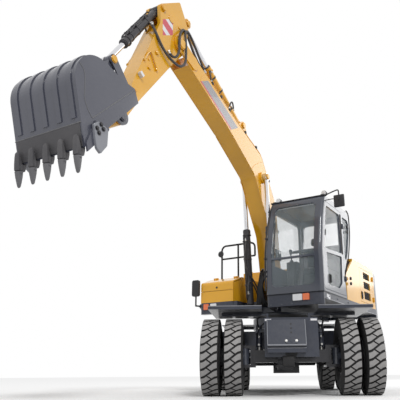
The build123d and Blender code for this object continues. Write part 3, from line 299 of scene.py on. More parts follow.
def fabric(name, colour):
    finish = Finish(name)
    weave = finish.noise(700.0, 2.0, 0.5)
    worn = finish.noise(9.0, 4.0).between(0.4, 0.65) * 0.3
    finish.set(Base_Color=finish.mix(worn, colour, [c * 1.8 for c in colour]), Roughness=weave * 0.1 + 0.85)
    finish.set(Sheen_Weight=0.3)
    finish.relief(weave, 0.5, 0.001)
    return finish.material


CHROME = smooth("chrome rod", (0.70, 0.70, 0.72), 0.12, metal=1.0)
BRIGHT_STEEL = smooth("plated steel", (0.50, 0.49, 0.47), 0.3, metal=0.9, streaks=0.4)
BLACK = smooth("black plastic", (0.017, 0.017, 0.019), 0.5, streaks=0.3)
MIRROR = smooth("mirror glass", (0.75, 0.78, 0.80), 0.03, metal=1.0, streaks=0.02)
LAMP_CLEAR = smooth("clear lens", (0.82, 0.83, 0.85), 0.08, coat=1.0)
LAMP_ORANGE = smooth("orange lens", (0.90, 0.16, 0.02), 0.12, coat=1.0)
LAMP_RED = smooth("red lens", (0.55, 0.01, 0.01), 0.12, coat=1.0)
LAMP_SCREEN = smooth("dark screen", (0.010, 0.012, 0.016), 0.08, coat=1.0)
TRIM_GREY = smooth("grey trim", (0.12, 0.125, 0.12), 0.6)
PLATE_WHITE = smooth("blank plate", (0.80, 0.80, 0.82), 0.35)
STRIPE_GREY = smooth("grey stripe", (0.30, 0.29, 0.30), 0.35, coat=0.4)
STRIPE_RED = smooth("red stripe", (0.62, 0.06, 0.09), 0.35, coat=0.4)
GLASS = clear("window glass", (0.42, 0.50, 0.54), 0.14)
SEAT_CLOTH = fabric("seat cloth", (0.022, 0.022, 0.025))

# %% [markdown]
# ## Finishes of the CAD pieces
#
# Every CAD piece names a slot in its record. One table turns slots into finishes, and a shorter one holds
# the pieces that share a slot but look different on the real machine.

# %% Give each CAD piece its finish
SLOT_FINISHES = {
    "yellow_paint": YELLOW,
    "grey_paint": GREY,
    "arm_grey_paint": ARM_GREY,
    "wheel_paint": WHEEL_GREY,
    "tyre_rubber": TYRE_WALL,
    "rod_chrome": CHROME,
    "clear_glass": GLASS,
    "black_plastic": BLACK,
    "seat_fabric": SEAT_CLOTH,
    "rail_paint": RAIL_BLACK,
    "engine_iron": BLOCK_IRON,
    "lamp_plastic": LAMP_CLEAR,
    "orange_plastic": LAMP_ORANGE,
    "red_plastic": LAMP_RED,
}
OWN_FINISHES = {
    "bucket_teeth": WEAR_STEEL,
    "lift_barrel": CYLINDER_GREY,
    "curl_barrel": CYLINDER_GREY,
    "slew_ring": BLOCK_IRON,
    "front_axle": AXLE_BLACK,
    "rear_axle": AXLE_BLACK,
    "drive_line": AXLE_BLACK,
}
for name in ("chassis_frame", "fenders", "step_boxes", "upper_frame"):
    OWN_FINISHES[name] = FRAME_GREY_WITH_UNDERSIDE_SHADE

for subpart in frame["record"]["subparts"]:
    mesh = nodes[subpart["node"]].data
    mesh.materials.clear()
    mesh.materials.append(OWN_FINISHES.get(subpart["node"], SLOT_FINISHES[subpart["material_slot"]]))

# %% [markdown]
# ## Making a piece
#
# Each new piece is a bmesh that is shaped in the frame of its carrier, moved into place, and then turned
# into an object that rides on its body. Small shapes are added to one bmesh, because a hundred bolts on
# one body are one piece.


# %% From a bmesh to a piece
SHARP_ANGLE = math.radians(38)


def in_scene(name, data):
    made = bpy.data.objects.new(name, data)
    bpy.context.scene.collection.objects.link(made)
    return made


def make_object(name, bm, finishes, carrier=None):
    """An object from a bmesh that was shaped in its carrier's frame."""
    if carrier is not None:
        bmesh.ops.transform(bm, matrix=carrier, verts=bm.verts)
    bmesh.ops.recalc_face_normals(bm, faces=bm.faces)
    mesh = bpy.data.meshes.new(name)
    bm.to_mesh(mesh)
    bm.free()
    for finish in finishes:
        mesh.materials.append(finish)
    mesh.polygons.foreach_set("use_smooth", [True] * len(mesh.polygons))
    mesh.set_sharp_from_angle(angle=SHARP_ANGLE)
    piece = in_scene(name, mesh)
    return piece


def finish_piece(name, bm, finishes, body, carrier=None):
    """The object of a bmesh, riding on its body."""
    piece = make_object(name, bm, finishes, carrier)
    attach(piece, body)
    print(name, len(piece.data.polygons), "faces on", body)
    return piece


def add_box(bm, low, high, soft=0.0, finish=0, matrix=None):
    """A box between two corners, its edges rounded by soft."""
    low, high = Vector(low), Vector(high)
    made = bmesh.ops.create_cube(bm, size=1)["verts"]
    bmesh.ops.scale(bm, vec=high - low, verts=made)
    bmesh.ops.translate(bm, vec=(low + high) / 2, verts=made)
    faces = {f for v in made for f in v.link_faces}
    if soft:
        edges = list({e for v in made for e in v.link_edges})
        rounded = bmesh.ops.bevel(
            bm, geom=edges, offset=soft, segments=2, profile=0.5, affect="EDGES", material=-1, clamp_overlap=True
        )
        faces = {f for v in rounded["verts"] for f in v.link_faces} | {f for f in faces if f.is_valid}
        made = list({v for f in faces for v in f.verts})
    for face in faces:
        face.material_index = finish
    if matrix is not None:
        bmesh.ops.transform(bm, matrix=matrix, verts=made)


def add_boxes(bm, rows):
    for row in rows:
        add_box(bm, *row)


def add_rod(bm, start, end, radius, sides=12, finish=0, soft=0.0, tip=None):
    """A round bar, or a bolt's head when it has six sides."""
    start, end = Vector(start), Vector(end)
    way = end - start
    turn = way.to_track_quat("Z", "Y").to_matrix().to_4x4()
    made = bmesh.ops.create_cone(
        bm, cap_ends=True, segments=sides, radius1=radius, radius2=radius if tip is None else tip,
        depth=way.length, matrix=Matrix.Translation((start + end) / 2) @ turn,
    )["verts"]
    faces = {f for v in made for f in v.link_faces}
    for face in faces:
        face.material_index = finish
    if soft:
        edges = {e for v in made for e in v.link_edges}
        edges = [e for e in edges if any(len(f.verts) == sides for f in e.link_faces)]
        bmesh.ops.bevel(bm, geom=edges, offset=soft, segments=1, profile=0.5, affect="EDGES", material=-1)


# %% [markdown]
# ## Tyres
#
# A tyre is a turned shape, so its wall is one outline spun about the axle. Its tread is two rows of
# blocks between slanting grooves that cross the whole tread, with a short diagonal groove between the
# rows. One pair of blocks is laid out flat from two grids, bent round the wheel, and then spun thirty
# times. The twin tyres of a wheel are one piece, as in the CAD model.

# %% Tread and wall
TYRE_RADIUS = 0.529
TYRE_HALF_WIDTH, TREAD_EDGE, TREAD_SHOULDER = 0.137, 0.112, 0.070
BLOCKS_ROUND = 30
BLOCK_PITCH = 2 * math.pi * TYRE_RADIUS / BLOCKS_ROUND
GROOVE = 0.033
GROOVE_DEPTH = 0.022
MIDDLE_GAP, MIDDLE_SLANT = 0.0085, 0.027
GROOVE_SLOPE, SHOULDER_SLOPE = 0.72, 0.25
BLOCK_FLANKS = [
    # depth, spread
    (0.0025, 1.05), (GROOVE_DEPTH, 1.08),
]
WALL_OUTLINE = [
    # across the tyre, radius
    (-0.100, 0.2545), (-0.113, 0.262), (-0.117, 0.278), (-0.113, 0.290), (-0.124, 0.315), (-0.134, 0.350),
    (-0.137, 0.385), (-0.134, 0.420), (-0.127, 0.455), (-0.121, 0.475), (-0.117, 0.480), (-0.114, 0.500),
    (-0.102, 0.5075), (0.0, 0.509),
]


def groove_line(x):
    """How far round the tyre a slanting groove has come at a place across the tread."""
    middle = max(-TREAD_SHOULDER, min(TREAD_SHOULDER, x))
    return GROOVE_SLOPE * middle + SHOULDER_SLOPE * (x - middle)


def wrap(verts, middle):
    """Bend a flat tread (across, round, outward) about the axle."""
    for vert in verts:
        across, around, outward = vert.co
        angle = around / TYRE_RADIUS
        radius = TYRE_RADIUS + outward
        vert.co = (middle + across, -radius * math.cos(angle), radius * math.sin(angle))


def add_block(bm, row, middle):
    """One tread block; row is -1 on the left and 1 on the right."""
    made = bmesh.ops.create_grid(bm, x_segments=5, y_segments=5, size=0.5)["verts"]
    face_set = list({f for v in made for f in v.link_faces})
    height = BLOCK_PITCH - GROOVE
    for vert in made:
        share_x, share_y = vert.co.x + 0.5, vert.co.y + 0.5
        inner = row * MIDDLE_GAP + MIDDLE_SLANT * (1 - 2 * share_y)
        ends = (-TREAD_EDGE, inner) if row < 0 else (inner, TREAD_EDGE)
        x = ends[0] + (ends[1] - ends[0]) * share_x
        vert.co = (x, groove_line(x) + height * share_y, 0)
    centre = sum((v.co for v in made), Vector()) / len(made)
    rim = [e for e in {e for f in face_set for e in f.edges} if len(e.link_faces) == 1]
    for depth, spread in BLOCK_FLANKS:
        grown = bmesh.ops.extrude_edge_only(bm, edges=rim)["geom"]
        verts = [g for g in grown if isinstance(g, bmesh.types.BMVert)]
        rim = [g for g in grown if isinstance(g, bmesh.types.BMEdge)]
        for vert in verts:
            flat = Vector((vert.co.x, vert.co.y, 0)) - centre
            vert.co = centre + flat * spread
            vert.co.z = -depth
        made += verts
    wrap(made, middle)
    for face in face_set:
        face.material_index = 1


def tyre_pair(name, body, y):
    bm = bmesh.new()
    low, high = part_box("tyres_" + name)
    twin_middles = (low.x + TYRE_HALF_WIDTH, high.x - TYRE_HALF_WIDTH)
    for middle in twin_middles:
        for row in (-1, 1):
            add_block(bm, row, middle)
    bmesh.ops.spin(
        bm, geom=bm.verts[:] + bm.edges[:] + bm.faces[:], cent=(0, 0, 0), axis=(1, 0, 0),
        angle=2 * math.pi * (BLOCKS_ROUND - 1) / BLOCKS_ROUND, steps=BLOCKS_ROUND - 1, use_duplicate=True,
    )
    for middle in twin_middles:
        outline = WALL_OUTLINE + [(-x, r) for x, r in reversed(WALL_OUTLINE[:-1])]
        verts = [bm.verts.new((middle + x, -r, 0)) for x, r in outline]
        edges = [bm.edges.new(pair) for pair in zip(verts, verts[1:] + verts[:1])]
        bmesh.ops.spin(
            bm, geom=verts + edges, cent=(0, 0, 0), axis=(1, 0, 0), angle=2 * math.pi, steps=72, use_merge=True
        )
    place = Matrix.Translation((0, y, TYRE_RADIUS))
    piece = finish_piece("tread_" + name, bm, [TYRE_WALL, TYRE_BLOCK], body, place)
    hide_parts("tyres_" + name)


AXLES_Y = {"front": -1.850, "rear": 0.950}
for axle, axle_y in AXLES_Y.items():
    for hand in ("left", "right"):
        tyre_pair(axle + "_" + hand, "wheel_" + axle + "_" + hand, axle_y)

# %% [markdown]
# ## Hoses, plates and bolts
#
# A hose is a curve with a round section. A NURBS curve follows a few points smoothly, so each route is a
# short list, and the curve is turned into a mesh. A plate starts as one flat face whose corners are rounded
# and which is then pushed out to its thickness; a window seal is the same plate with only its rim left.


# %% Helpers for hoses, plates and bolts
SLEEVE, NUT = 1.25, 1.55  # radius of a hose end's sleeve and nut, as shares of the hose's own
FERRULE_FINISH = 1


def join(bm, part, finish=0):
    """Add a small bmesh to a larger one, in one finish."""
    for face in part.faces:
        face.material_index = finish
    mesh = bpy.data.meshes.new("part")
    part.to_mesh(mesh)
    part.free()
    bm.from_mesh(mesh)
    bpy.data.meshes.remove(mesh)


def side_plane(x):
    """The plane of a left face, whose pairs are forward and height; it looks to +X."""
    return Matrix(((0, 0, 1, x), (-1, 0, 0, 0), (0, 1, 0, 0), (0, 0, 0, 1)))


def front_plane(y):
    """The plane of a front face, whose pairs are x and height; it looks to -Y."""
    return Matrix(((1, 0, 0, 0), (0, 0, -1, y), (0, 1, 0, 0), (0, 0, 0, 1)))


def add_hose(bm, route, radius, finish=0, ferrules=0.0):
    """A round bar, pipe or hose along a route; ferrules is the length of the metal ends, if it has them."""
    curve = bpy.data.curves.new("route", "CURVE")
    curve.dimensions = "3D"
    curve.bevel_depth = radius
    curve.bevel_resolution = 2
    curve.resolution_u = 5
    curve.use_fill_caps = True
    spline = curve.splines.new("NURBS")
    spline.points.add(len(route) - 1)
    for point, place in zip(spline.points, route):
        point.co = (*place, 1)
    spline.order_u = 3
    spline.use_endpoint_u = True
    holder = bpy.data.objects.new("route", curve)
    mesh = bpy.data.meshes.new_from_object(holder)
    part = bmesh.new()
    part.from_mesh(mesh)
    join(bm, part, finish)
    bpy.data.objects.remove(holder)
    bpy.data.curves.remove(curve)
    bpy.data.meshes.remove(mesh)
    if ferrules:
        for here, there in ((route[0], route[1]), (route[-1], route[-2])):
            here, way = Vector(here), (Vector(there) - Vector(here)).normalized()
            add_rod(bm, here - way * 0.004, here + way * ferrules, radius * SLEEVE, 10, FERRULE_FINISH)
            add_rod(bm, here - way * 0.006, here + way * ferrules * 0.35, radius * NUT, 6, FERRULE_FINISH)


def side_hose(bm, pairs, x, radius, finish=0):
    """The same along pairs of forward and height, all at one x."""
    add_hose(bm, [side(*pair, x) for pair in pairs], radius, finish)


def add_plate(bm, corners, plane, thick, finish=0, rounding=0.0, soft=0.0, rim=0.0, bend=None):
    """A plate; its corners are pairs in the plane, and a third number is a corner's own rounding."""
    part = bmesh.new()
    verts = [part.verts.new((corner[0], corner[1], 0)) for corner in corners]
    part.faces.new(verts)
    for vert, corner in zip(verts, corners):
        size = corner[2] if len(corner) > 2 else rounding
        if size:
            bmesh.ops.bevel(
                part, geom=[vert], offset=size, segments=4, profile=0.5, affect="VERTICES", material=-1
            )
    region = part.faces[:]
    if rim:
        whole = region
        region = bmesh.ops.inset_region(part, faces=whole, thickness=rim, use_even_offset=True)["faces"]
        bmesh.ops.delete(part, geom=whole, context="FACES")
    grown = bmesh.ops.extrude_face_region(part, geom=region, use_keep_orig=True)["geom"]
    raised = [g for g in grown if isinstance(g, bmesh.types.BMVert)]
    bmesh.ops.translate(part, vec=(0, 0, thick), verts=raised)
    if soft:
        top = set(raised)
        edges = [e for e in part.edges if e.verts[0] in top and e.verts[1] in top and len(e.link_faces) == 2]
        edges = [e for e in edges if e.calc_face_angle(0) > 0.5]
        bmesh.ops.bevel(
            part, geom=edges, offset=soft, segments=1, profile=0.5, affect="EDGES", material=-1,
            clamp_overlap=True,
        )
    bmesh.ops.transform(part, matrix=plane, verts=part.verts)
    if bend is not None:
        bend(part)
    join(bm, part, finish)


def add_bolt(bm, place, way, size, finish=0):
    """A six-sided head on a washer; size is the head's radius."""
    place, way = Vector(place), Vector(way).normalized()
    add_rod(bm, place, place + way * size * 0.25, size * 1.45, 14, finish)
    add_rod(bm, place + way * size * 0.2, place + way * size * 0.95, size, 6, finish, soft=size * 0.15)


def add_pin_cap(bm, place, way, radius):
    """The end of a pin: a collar, its round end and two bolts that lock it."""
    place, way = Vector(place), Vector(way).normalized()
    face, end = place + way * 0.009, place + way * 0.020
    add_rod(bm, place, place + way * 0.010, radius * 1.22, 28, soft=0.003)
    add_rod(bm, face, end, radius, 24, soft=0.003)
    for turn in (-0.5, 0.5):
        across = Vector((0, math.sin(turn), math.cos(turn)))
        add_bolt(bm, face + across * radius * 1.02, way, 0.009)


# %% [markdown]
# ## Bucket teeth
#
# The teeth are cast adapters that lie on the outside of the lip like thumbs, with a worn tip on each and a
# jaw behind the lip. Each casting is a few rounded sections bridged into one skin.

# %% Teeth and adapters
TOOTH_SPACING = 0.212
TOOTH_PIN_AT, TOOTH_PIN_HALF, TOOTH_PIN_RADIUS = (5.500, 2.300), 0.046, 0.009
TOOTH_ACROSS = Vector((0, -0.974, -0.228))
SQUARENESS = 3.2
ADAPTER_SECTIONS = [
    # forward, height, half width, half depth
    (5.562, 2.524, 0.015, 0.006), (5.559, 2.510, 0.029, 0.014), (5.550, 2.470, 0.035, 0.022),
    (5.540, 2.430, 0.037, 0.030), (5.528, 2.390, 0.038, 0.038), (5.515, 2.332, 0.037, 0.042),
    (5.512, 2.326, 0.033, 0.037),
]
TIP_SECTIONS = [
    (5.510, 2.320, 0.037, 0.041), (5.500, 2.262, 0.034, 0.034), (5.490, 2.200, 0.027, 0.022),
    (5.484, 2.163, 0.020, 0.013), (5.482, 2.150, 0.012, 0.007),
]
JAW_SECTIONS = [
    (5.462, 2.446, 0.024, 0.006), (5.463, 2.430, 0.034, 0.014), (5.466, 2.380, 0.038, 0.022),
    (5.478, 2.330, 0.040, 0.030),
]


def add_casting(bm, sections, x, finish):
    """A rounded solid through flat sections of the boom plane."""
    part = bmesh.new()
    rings = []
    for forward, height, half_width, half_depth in sections:
        ring = bmesh.ops.create_circle(part, cap_ends=False, radius=1, segments=12)["verts"]
        for vert in ring:
            angle = math.atan2(vert.co.y, vert.co.x)
            cos, sin = math.cos(angle), math.sin(angle)
            square = 1 / (abs(cos) ** SQUARENESS + abs(sin) ** SQUARENESS) ** (1 / SQUARENESS)
            vert.co = side(forward, height, x + cos * square * half_width) + TOOTH_ACROSS * sin * square * half_depth
        rings.append(ring)
    for before, after in zip(rings, rings[1:]):
        edges = {
            e for ring in (before, after) for v in ring for e in v.link_edges
            if e.verts[0] in ring and e.verts[1] in ring
        }
        bmesh.ops.bridge_loops(part, edges=list(edges))
    for ring in (rings[0], rings[-1]):
        bmesh.ops.contextual_create(part, geom=ring)
    join(bm, part, finish)


teeth = bmesh.new()
for i in range(5):
    x = (i - 2) * TOOTH_SPACING
    for sections, finish in ((ADAPTER_SECTIONS, 0), (TIP_SECTIONS, 1), (JAW_SECTIONS, 0)):
        add_casting(teeth, sections, x, finish)
    pin_ends = [side(*TOOTH_PIN_AT, x + hand * TOOTH_PIN_HALF) for hand in HANDS]
    add_rod(teeth, *pin_ends, TOOTH_PIN_RADIUS, 10, 1, soft=0.002)
piece = finish_piece("teeth_and_adapters", teeth, [WEAR_STEEL, WORN_STEEL], "bucket", BOOM)
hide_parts("bucket_teeth")

# %% [markdown]
# ## Lip and side cutters
#
# The lip is a thicker plate whose weld catches the light, weld seams run round the bucket's sides, and a
# bolted cutter guards each corner of the mouth.

# %% Lip, cutters and seams
LIP_HALF, BUCKET_HALF, SEAM_X = 0.458, 0.500, 0.4795
CUTTER_THICK = 0.030
LIP = [(5.562, 2.648), (5.492, 2.423), (5.484, 2.425), (5.552, 2.645)]
CUTTER = [
    (5.432, 2.675), (5.374, 2.723), (5.251, 2.701), (5.229, 2.665),
    (5.227, 2.508), (5.309, 2.394), (5.369, 2.430), (5.403, 2.537),
]
CUTTER_BOLTS = [(5.341, 2.702), (5.392, 2.640), (5.305, 2.664), (5.360, 2.600)]
SIDE_SEAMS = [
    [(5.655, 3.270), (5.570, 3.226), (5.558, 3.048), (5.540, 2.853), (5.419, 2.752)],
    [(5.419, 2.752), (5.156, 3.032), (4.828, 3.374)],
]
lip = bmesh.new()
add_plate(lip, LIP, side_plane(-LIP_HALF), 2 * LIP_HALF)
add_hose(lip, [side(5.560, 2.652, x) for x in (-0.478, -0.3, 0.0, 0.3, 0.478)], 0.0065, 1)
for hand in HANDS:
    add_plate(lip, CUTTER, side_plane(hand * BUCKET_HALF), hand * CUTTER_THICK, 2, rounding=0.012, soft=0.005)
    for place in CUTTER_BOLTS:
        add_bolt(lip, side(*place, hand * (BUCKET_HALF + CUTTER_THICK)), (hand, 0, 0), 0.018, 3)
    for seam in SIDE_SEAMS:
        side_hose(lip, seam, hand * SEAM_X, 0.0050, 1)
finish_piece(
    "lip_and_side_cutters", lip, [WEAR_STEEL, WORN_STEEL, PALE_GREY_AND_EDGE_HIGHLIGHT, AXLE_BLACK], "bucket", BOOM
)

# %% [markdown]
# ## Pin caps
#
# Every joint of the arm turns on a pin that a collar and two bolts hold. One table lists the pins, and
# all that ride on one body are joined into one piece.

# %% Pin caps
PINS = [
    # body, forward, height, distance from the boom's middle, radius
    ("upper_structure", 0.360, 1.790, 0.190, 0.055),
    ("upper_structure", 0.765, 1.370, 0.264, 0.045),
    ("lift_rod", 0.965, 3.640, 0.260, 0.044),
    ("boom", 1.560, 4.440, 0.106, 0.046),
    ("boom", 3.540, 4.880, 0.180, 0.072),
    ("stick", 3.290, 5.440, 0.094, 0.042),
    ("stick", 3.950, 5.245, 0.142, 0.042),
    ("idler_links", 4.857, 3.873, 0.156, 0.042),
    ("bucket", 4.680, 3.180, 0.198, 0.050),
    ("bucket", 4.887, 3.476, 0.190, 0.042),
]
PIN_LOOKS = {"upper_structure": GREY, "bucket": ARM_GREY}
for body in dict.fromkeys(row[0] for row in PINS):
    caps = bmesh.new()
    for _, forward, height, x, radius in [row for row in PINS if row[0] == body]:
        for hand in HANDS:
            add_pin_cap(caps, side(forward, height, hand * x), (hand, 0, 0), radius)
    look = PIN_LOOKS.get(body, YELLOW)
    finish_piece("pin_caps_" + body, caps, [look], body, BOOM)

# %% [markdown]
# ## Wheel nuts
#
# Fasteners are what gives a machine its scale. Ten nuts hold each outer rim, ten bolts its hub's cover, and
# three plugs close the planet carrier at the hub's end.

# %% Wheel nuts and hub bolts
OUTER_RIM_X, HUB_FACE_X, HUB_END_X = 1.013, 1.190, 1.225
NUT_CIRCLE, HUB_CIRCLE, PLUG_CIRCLE = 0.200, 0.115, 0.045
for axle, axle_y in AXLES_Y.items():
    for hand, way in (("left", 1), ("right", -1)):
        nuts = bmesh.new()
        out = Vector((way, 0, 0))
        centre = Vector((0, axle_y, TYRE_RADIUS))
        for x, radius, size in ((OUTER_RIM_X, NUT_CIRCLE, 0.016), (HUB_FACE_X, HUB_CIRCLE, 0.010)):
            for y, z in circle(10, radius):
                add_bolt(nuts, centre + out * x + Vector((0, y, z)), out, size)
        for y, z in circle(3, PLUG_CIRCLE, 0.25):
            spot = centre + out * HUB_END_X + Vector((0, y, z))
            add_rod(nuts, spot, spot + out * 0.008, 0.012, 12, soft=0.002)
        wheel = axle + "_" + hand
        finish_piece("wheel_nuts_" + wheel, nuts, [WHEEL_GREY], "wheel_" + wheel)

# %% [markdown]
# ## Window seals
#
# Each window sits in a black rubber seal that is a rim of the window's own outline. The windscreen leans
# and bends, so its seal is made flat and then each point is moved back onto the cab's front outline. A black
# rod along the cab's rounded rear corner is painted shade.

# %% Window seals
CAB_FRONT = [
    # height, forward, of the cab's front from its foot to the roof
    (1.495, 1.235), (2.200, 1.226), (2.700, 1.113), (3.060, 0.984), (3.120, 0.930),
]
FRONT_BENDS = (2.20, 2.45, 2.70, 2.88, 3.06)
CAB_LEFT_X, CAB_RIGHT_X = 1.240, 0.258


def cab_front(height):
    for (low, near), (high, far) in zip(CAB_FRONT, CAB_FRONT[1:]):
        if height <= high:
            return near + (far - near) * (height - low) / (high - low)
    return CAB_FRONT[-1][1]


def onto_front(part):
    """Bend a flat piece at y = 0 onto the cab's front."""
    for height in FRONT_BENDS:
        geom = part.verts[:] + part.edges[:] + part.faces[:]
        bmesh.ops.bisect_plane(part, geom=geom, plane_co=(0, 0, height), plane_no=(0, 0, 1))
    for vert in part.verts:
        vert.co.y -= cab_front(vert.co.z)


REAR_LEAN = Matrix(((1, 0, 0, 0), (0, 1, 0.06, 0.162), (0, 0, 1, 0), (0, 0, 0, 1)))
QUARTER_LIGHT = [
    (0.088, 2.973, 0.035), (-0.270, 2.973, 0.095), (-0.262, 2.737, 0.200), (-0.105, 2.304, 0.120),
    (0.088, 2.050, 0.050),
]
SEALS = [
    # outline, plane, thickness, width of the rim, rounding of its edge, bend
    (rectangle((0.352, 1.123), (1.592, 2.060), 0.085, 0.015), front_plane(0.006), 0.012, 0.044, 0.003, onto_front),
    (rectangle((0.352, 1.123), (2.078, 3.018), 0.015, 0.095), front_plane(0.006), 0.012, 0.044, 0.003, onto_front),
    (QUARTER_LIGHT, side_plane(CAB_LEFT_X - 0.008), 0.012, 0.034, 0.003, None),
    (rectangle((-0.243, 1.012), (1.998, 2.972), 0.06), side_plane(CAB_RIGHT_X), -0.012, 0.026, 0.003, None),
    (rectangle((0.328, 1.162), (2.368, 2.992), 0.06), REAR_LEAN @ front_plane(0), 0.012, 0.026, 0, None),
]
# A black rod along the cab's rounded rear corner: painted shade, not a seal.
REAR_CORNER_SHADE = [
    (-0.20, 3.150), (-0.285, 3.140), (-0.334, 3.070), (-0.332, 2.860), (-0.318, 2.700), (-0.210, 2.400),
    (-0.140, 2.240), (0.020, 2.020), (0.106, 1.900),
]
seals = bmesh.new()
for outline, plane, thick, rim, soft, bend in SEALS:
    add_plate(seals, outline, plane, thick, rim=rim, soft=soft, bend=bend)
side_hose(seals, REAR_CORNER_SHADE, CAB_LEFT_X - 0.002, 0.010)
finish_piece("window_seals_and_corner_shade", seals, [SEAL_AND_SHADE_RUBBER], "upper_structure", UPPER)

# %% [markdown]
# ## Door
#
# The door has two windows with a seal each, a black strip over its rear post, a lever in a moulded cup, a
# lock below it, a catch on the window and a pull bar inside.

# %% Door trim
UPPER_LIGHT = [
    (0.232, 2.242, 0.035), (1.098, 2.181, 0.045), (0.987, 2.692, 0.300), (0.894, 2.968, 0.065), (0.237, 2.968, 0.045),
]
LOWER_LIGHT = [
    (0.232, 2.213, 0.035), (1.013, 2.152, 0.045), (0.987, 1.612, 0.065), (0.450, 1.612, 0.065), (0.288, 1.722, 0.065),
]
CATCH = [(0.985, 2.420, 0.008), (1.010, 2.420, 0.008), (1.000, 2.520, 0.008), (0.975, 2.520, 0.008)]
DOOR_PLATES = [
    # outline, how far out from the cab's side, thickness, finish, width of a rim, rounding of its edge
    (UPPER_LIGHT, -0.008, 0.012, 0, 0.036, 0.003),
    (LOWER_LIGHT, -0.008, 0.012, 0, 0.028, 0.003),
    (rectangle((0.162, 0.232), (2.250, 2.975), 0.012), 0.0, 0.004, 0, 0, 0),
    (rectangle((0.895, 0.955), (1.640, 1.800), 0.022), 0.0, 0.012, 1, 0, 0.004),
    (rectangle((0.905, 0.932), (1.655, 1.785), 0.010), 0.012, 0.018, 1, 0, 0.005),
    (CATCH, -0.014, 0.020, 1, 0, 0.004),
]
PULL_HEIGHT = 1.950
PULL_BAR = [(0.300, 1.170), (0.300, 1.150), (0.330, 1.140), (0.750, 1.140), (0.780, 1.150), (0.780, 1.196)]
door = bmesh.new()
for outline, out, thick, finish, rim, soft in DOOR_PLATES:
    add_plate(door, outline, side_plane(CAB_LEFT_X + out), thick, finish, rim=rim, soft=soft)
add_rod(door, side(0.925, 1.612, CAB_LEFT_X), side(0.925, 1.612, CAB_LEFT_X + 0.006), 0.012, 16, 2, soft=0.002)
add_hose(door, [side(forward, PULL_HEIGHT, x) for forward, x in PULL_BAR], 0.012, 1)
finish_piece("door_trim", door, [SEAL_AND_SHADE_RUBBER, BLACK, BRIGHT_STEEL], "cab_door", UPPER)

# %% [markdown]
# ## Outside of the cab
#
# Two hinges carry the door behind split covers. A pipe runs up the front pillar in clips, the wiper stands
# on the windscreen, and a bar with two feet lies along the roof's front edge.

# %% Hinge covers, pillar pipe, wiper and roof edge
PILLAR_PIPE = [
    # height, x
    (1.560, 0.252), (1.90, 0.252), (2.2, 0.254), (2.5, 0.258), (2.75, 0.262), (2.98, 0.270), (3.09, 0.30),
]
WIPER = [(2.13, 0.42), (2.4, 0.405), (2.72, 0.40)]
trim = bmesh.new()
for height in (1.830, 2.770):
    for low, high in ((-0.072, -0.018), (0.018, 0.072)):
        add_box(trim, (1.238, 0.107, height + low), (1.273, 0.143, height + high), 0.008)
for route, gap, radius in ((PILLAR_PIPE, 0.006, 0.011), (WIPER, 0.004, 0.009)):
    add_hose(trim, [(x, -cab_front(z) - gap, z) for z, x in route], radius)
for z in (1.80, 1.88, 2.09, 2.44, 2.95):
    y = -cab_front(z)
    add_box(trim, (0.236, y - 0.022, z - 0.012), (0.276, y + 0.02, z + 0.012), 0.004)
add_box(trim, (0.255, -0.965, 3.112), (1.235, -0.90, 3.130), 0.006)
for x in (0.30, 1.19):
    add_box(trim, (x - 0.035, -0.90, 3.125), (x + 0.035, -0.82, 3.165), 0.01)
finish_piece("cab_trim", trim, [BLACK], "upper_structure", UPPER)

# %% [markdown]
# ## Inside the cab
#
# Through the glass show the levers on their consoles, a screen, pedals, the sun blind and the trim of the
# walls and roof. They are simple shapes with soft edges, and mostly black, as moulded trim is.

# %% Levers, screen, pedals, blind and trim
CAB_BOXES = [
    # low corner, high corner, edge rounding, finish
    ((0.318, -0.980, 2.120), (0.345, -0.780, 2.300), 0.010, 0),
    ((0.344, -0.965, 2.135), (0.348, -0.795, 2.285), 0.002, 1),
    ((0.380, -0.955, 2.985), (1.110, -0.947, 3.050), 0.003, 2),
    ((0.320, -0.300, 1.560), (1.180, -0.060, 1.900), 0.030, 0),
    ((0.296, 0.100, 1.950), (0.340, 0.200, 3.000), 0.020, 0),
    ((1.150, 0.060, 2.000), (1.194, 0.140, 3.000), 0.020, 0),
    ((0.320, -0.850, 3.080), (1.170, 0.250, 3.100), 0.008, 3),
]
inside = bmesh.new()
for x in (0.470, 1.060):
    add_rod(inside, (x, -0.640, 2.100), (x, -0.640, 2.155), 0.045, 16, soft=0.006, tip=0.020)
    add_hose(inside, [(x, -0.640, 2.150), (x, -0.650, 2.200), (x, -0.665, 2.250)], 0.011)
    add_rod(inside, (x, -0.662, 2.245), (x, -0.672, 2.330), 0.022, 14, soft=0.008, tip=0.028)
    add_box(inside, (x - 0.050, -0.520, 2.099), (x + 0.050, -0.250, 2.150), 0.018)
for x in (0.640, 0.880):
    add_box(inside, (x - 0.045, -1.130, 1.600), (x + 0.045, -1.010, 1.612), 0.004)
    add_hose(inside, [(x, -1.050, 1.545), (x, -1.060, 1.58), (x, -1.070, 1.604)], 0.010)
add_rod(inside, (0.360, -0.935, 3.055), (1.130, -0.935, 3.055), 0.028, 18, 2, soft=0.004)
add_boxes(inside, CAB_BOXES)
finish_piece(
    "cab_controls", inside, [BLACK, LAMP_SCREEN, PLATE_WHITE, TRIM_GREY], "upper_structure", UPPER
)

# %% [markdown]
# ## Seat
#
# The seat is foam under woven cloth. Each cushion is a rounded block that is remeshed finely and then blown
# up a little by a cloth simulation with air pressure, which crowns its faces and pulls in its corners. A
# limit on how far each point may go keeps the cushion in its place.

# %% Seat cushions
CUSHION_ROUNDING, VOXEL, CLOTH_FRAMES, AIR_PRESSURE = 0.035, 0.014, 16, 4


def shaped(pad):
    """The mesh of a pad with its modifiers applied; the modifiers are cleared."""
    mesh = bpy.data.meshes.new_from_object(pad.evaluated_get(bpy.context.evaluated_depsgraph_get()))
    pad.modifiers.clear()
    return mesh


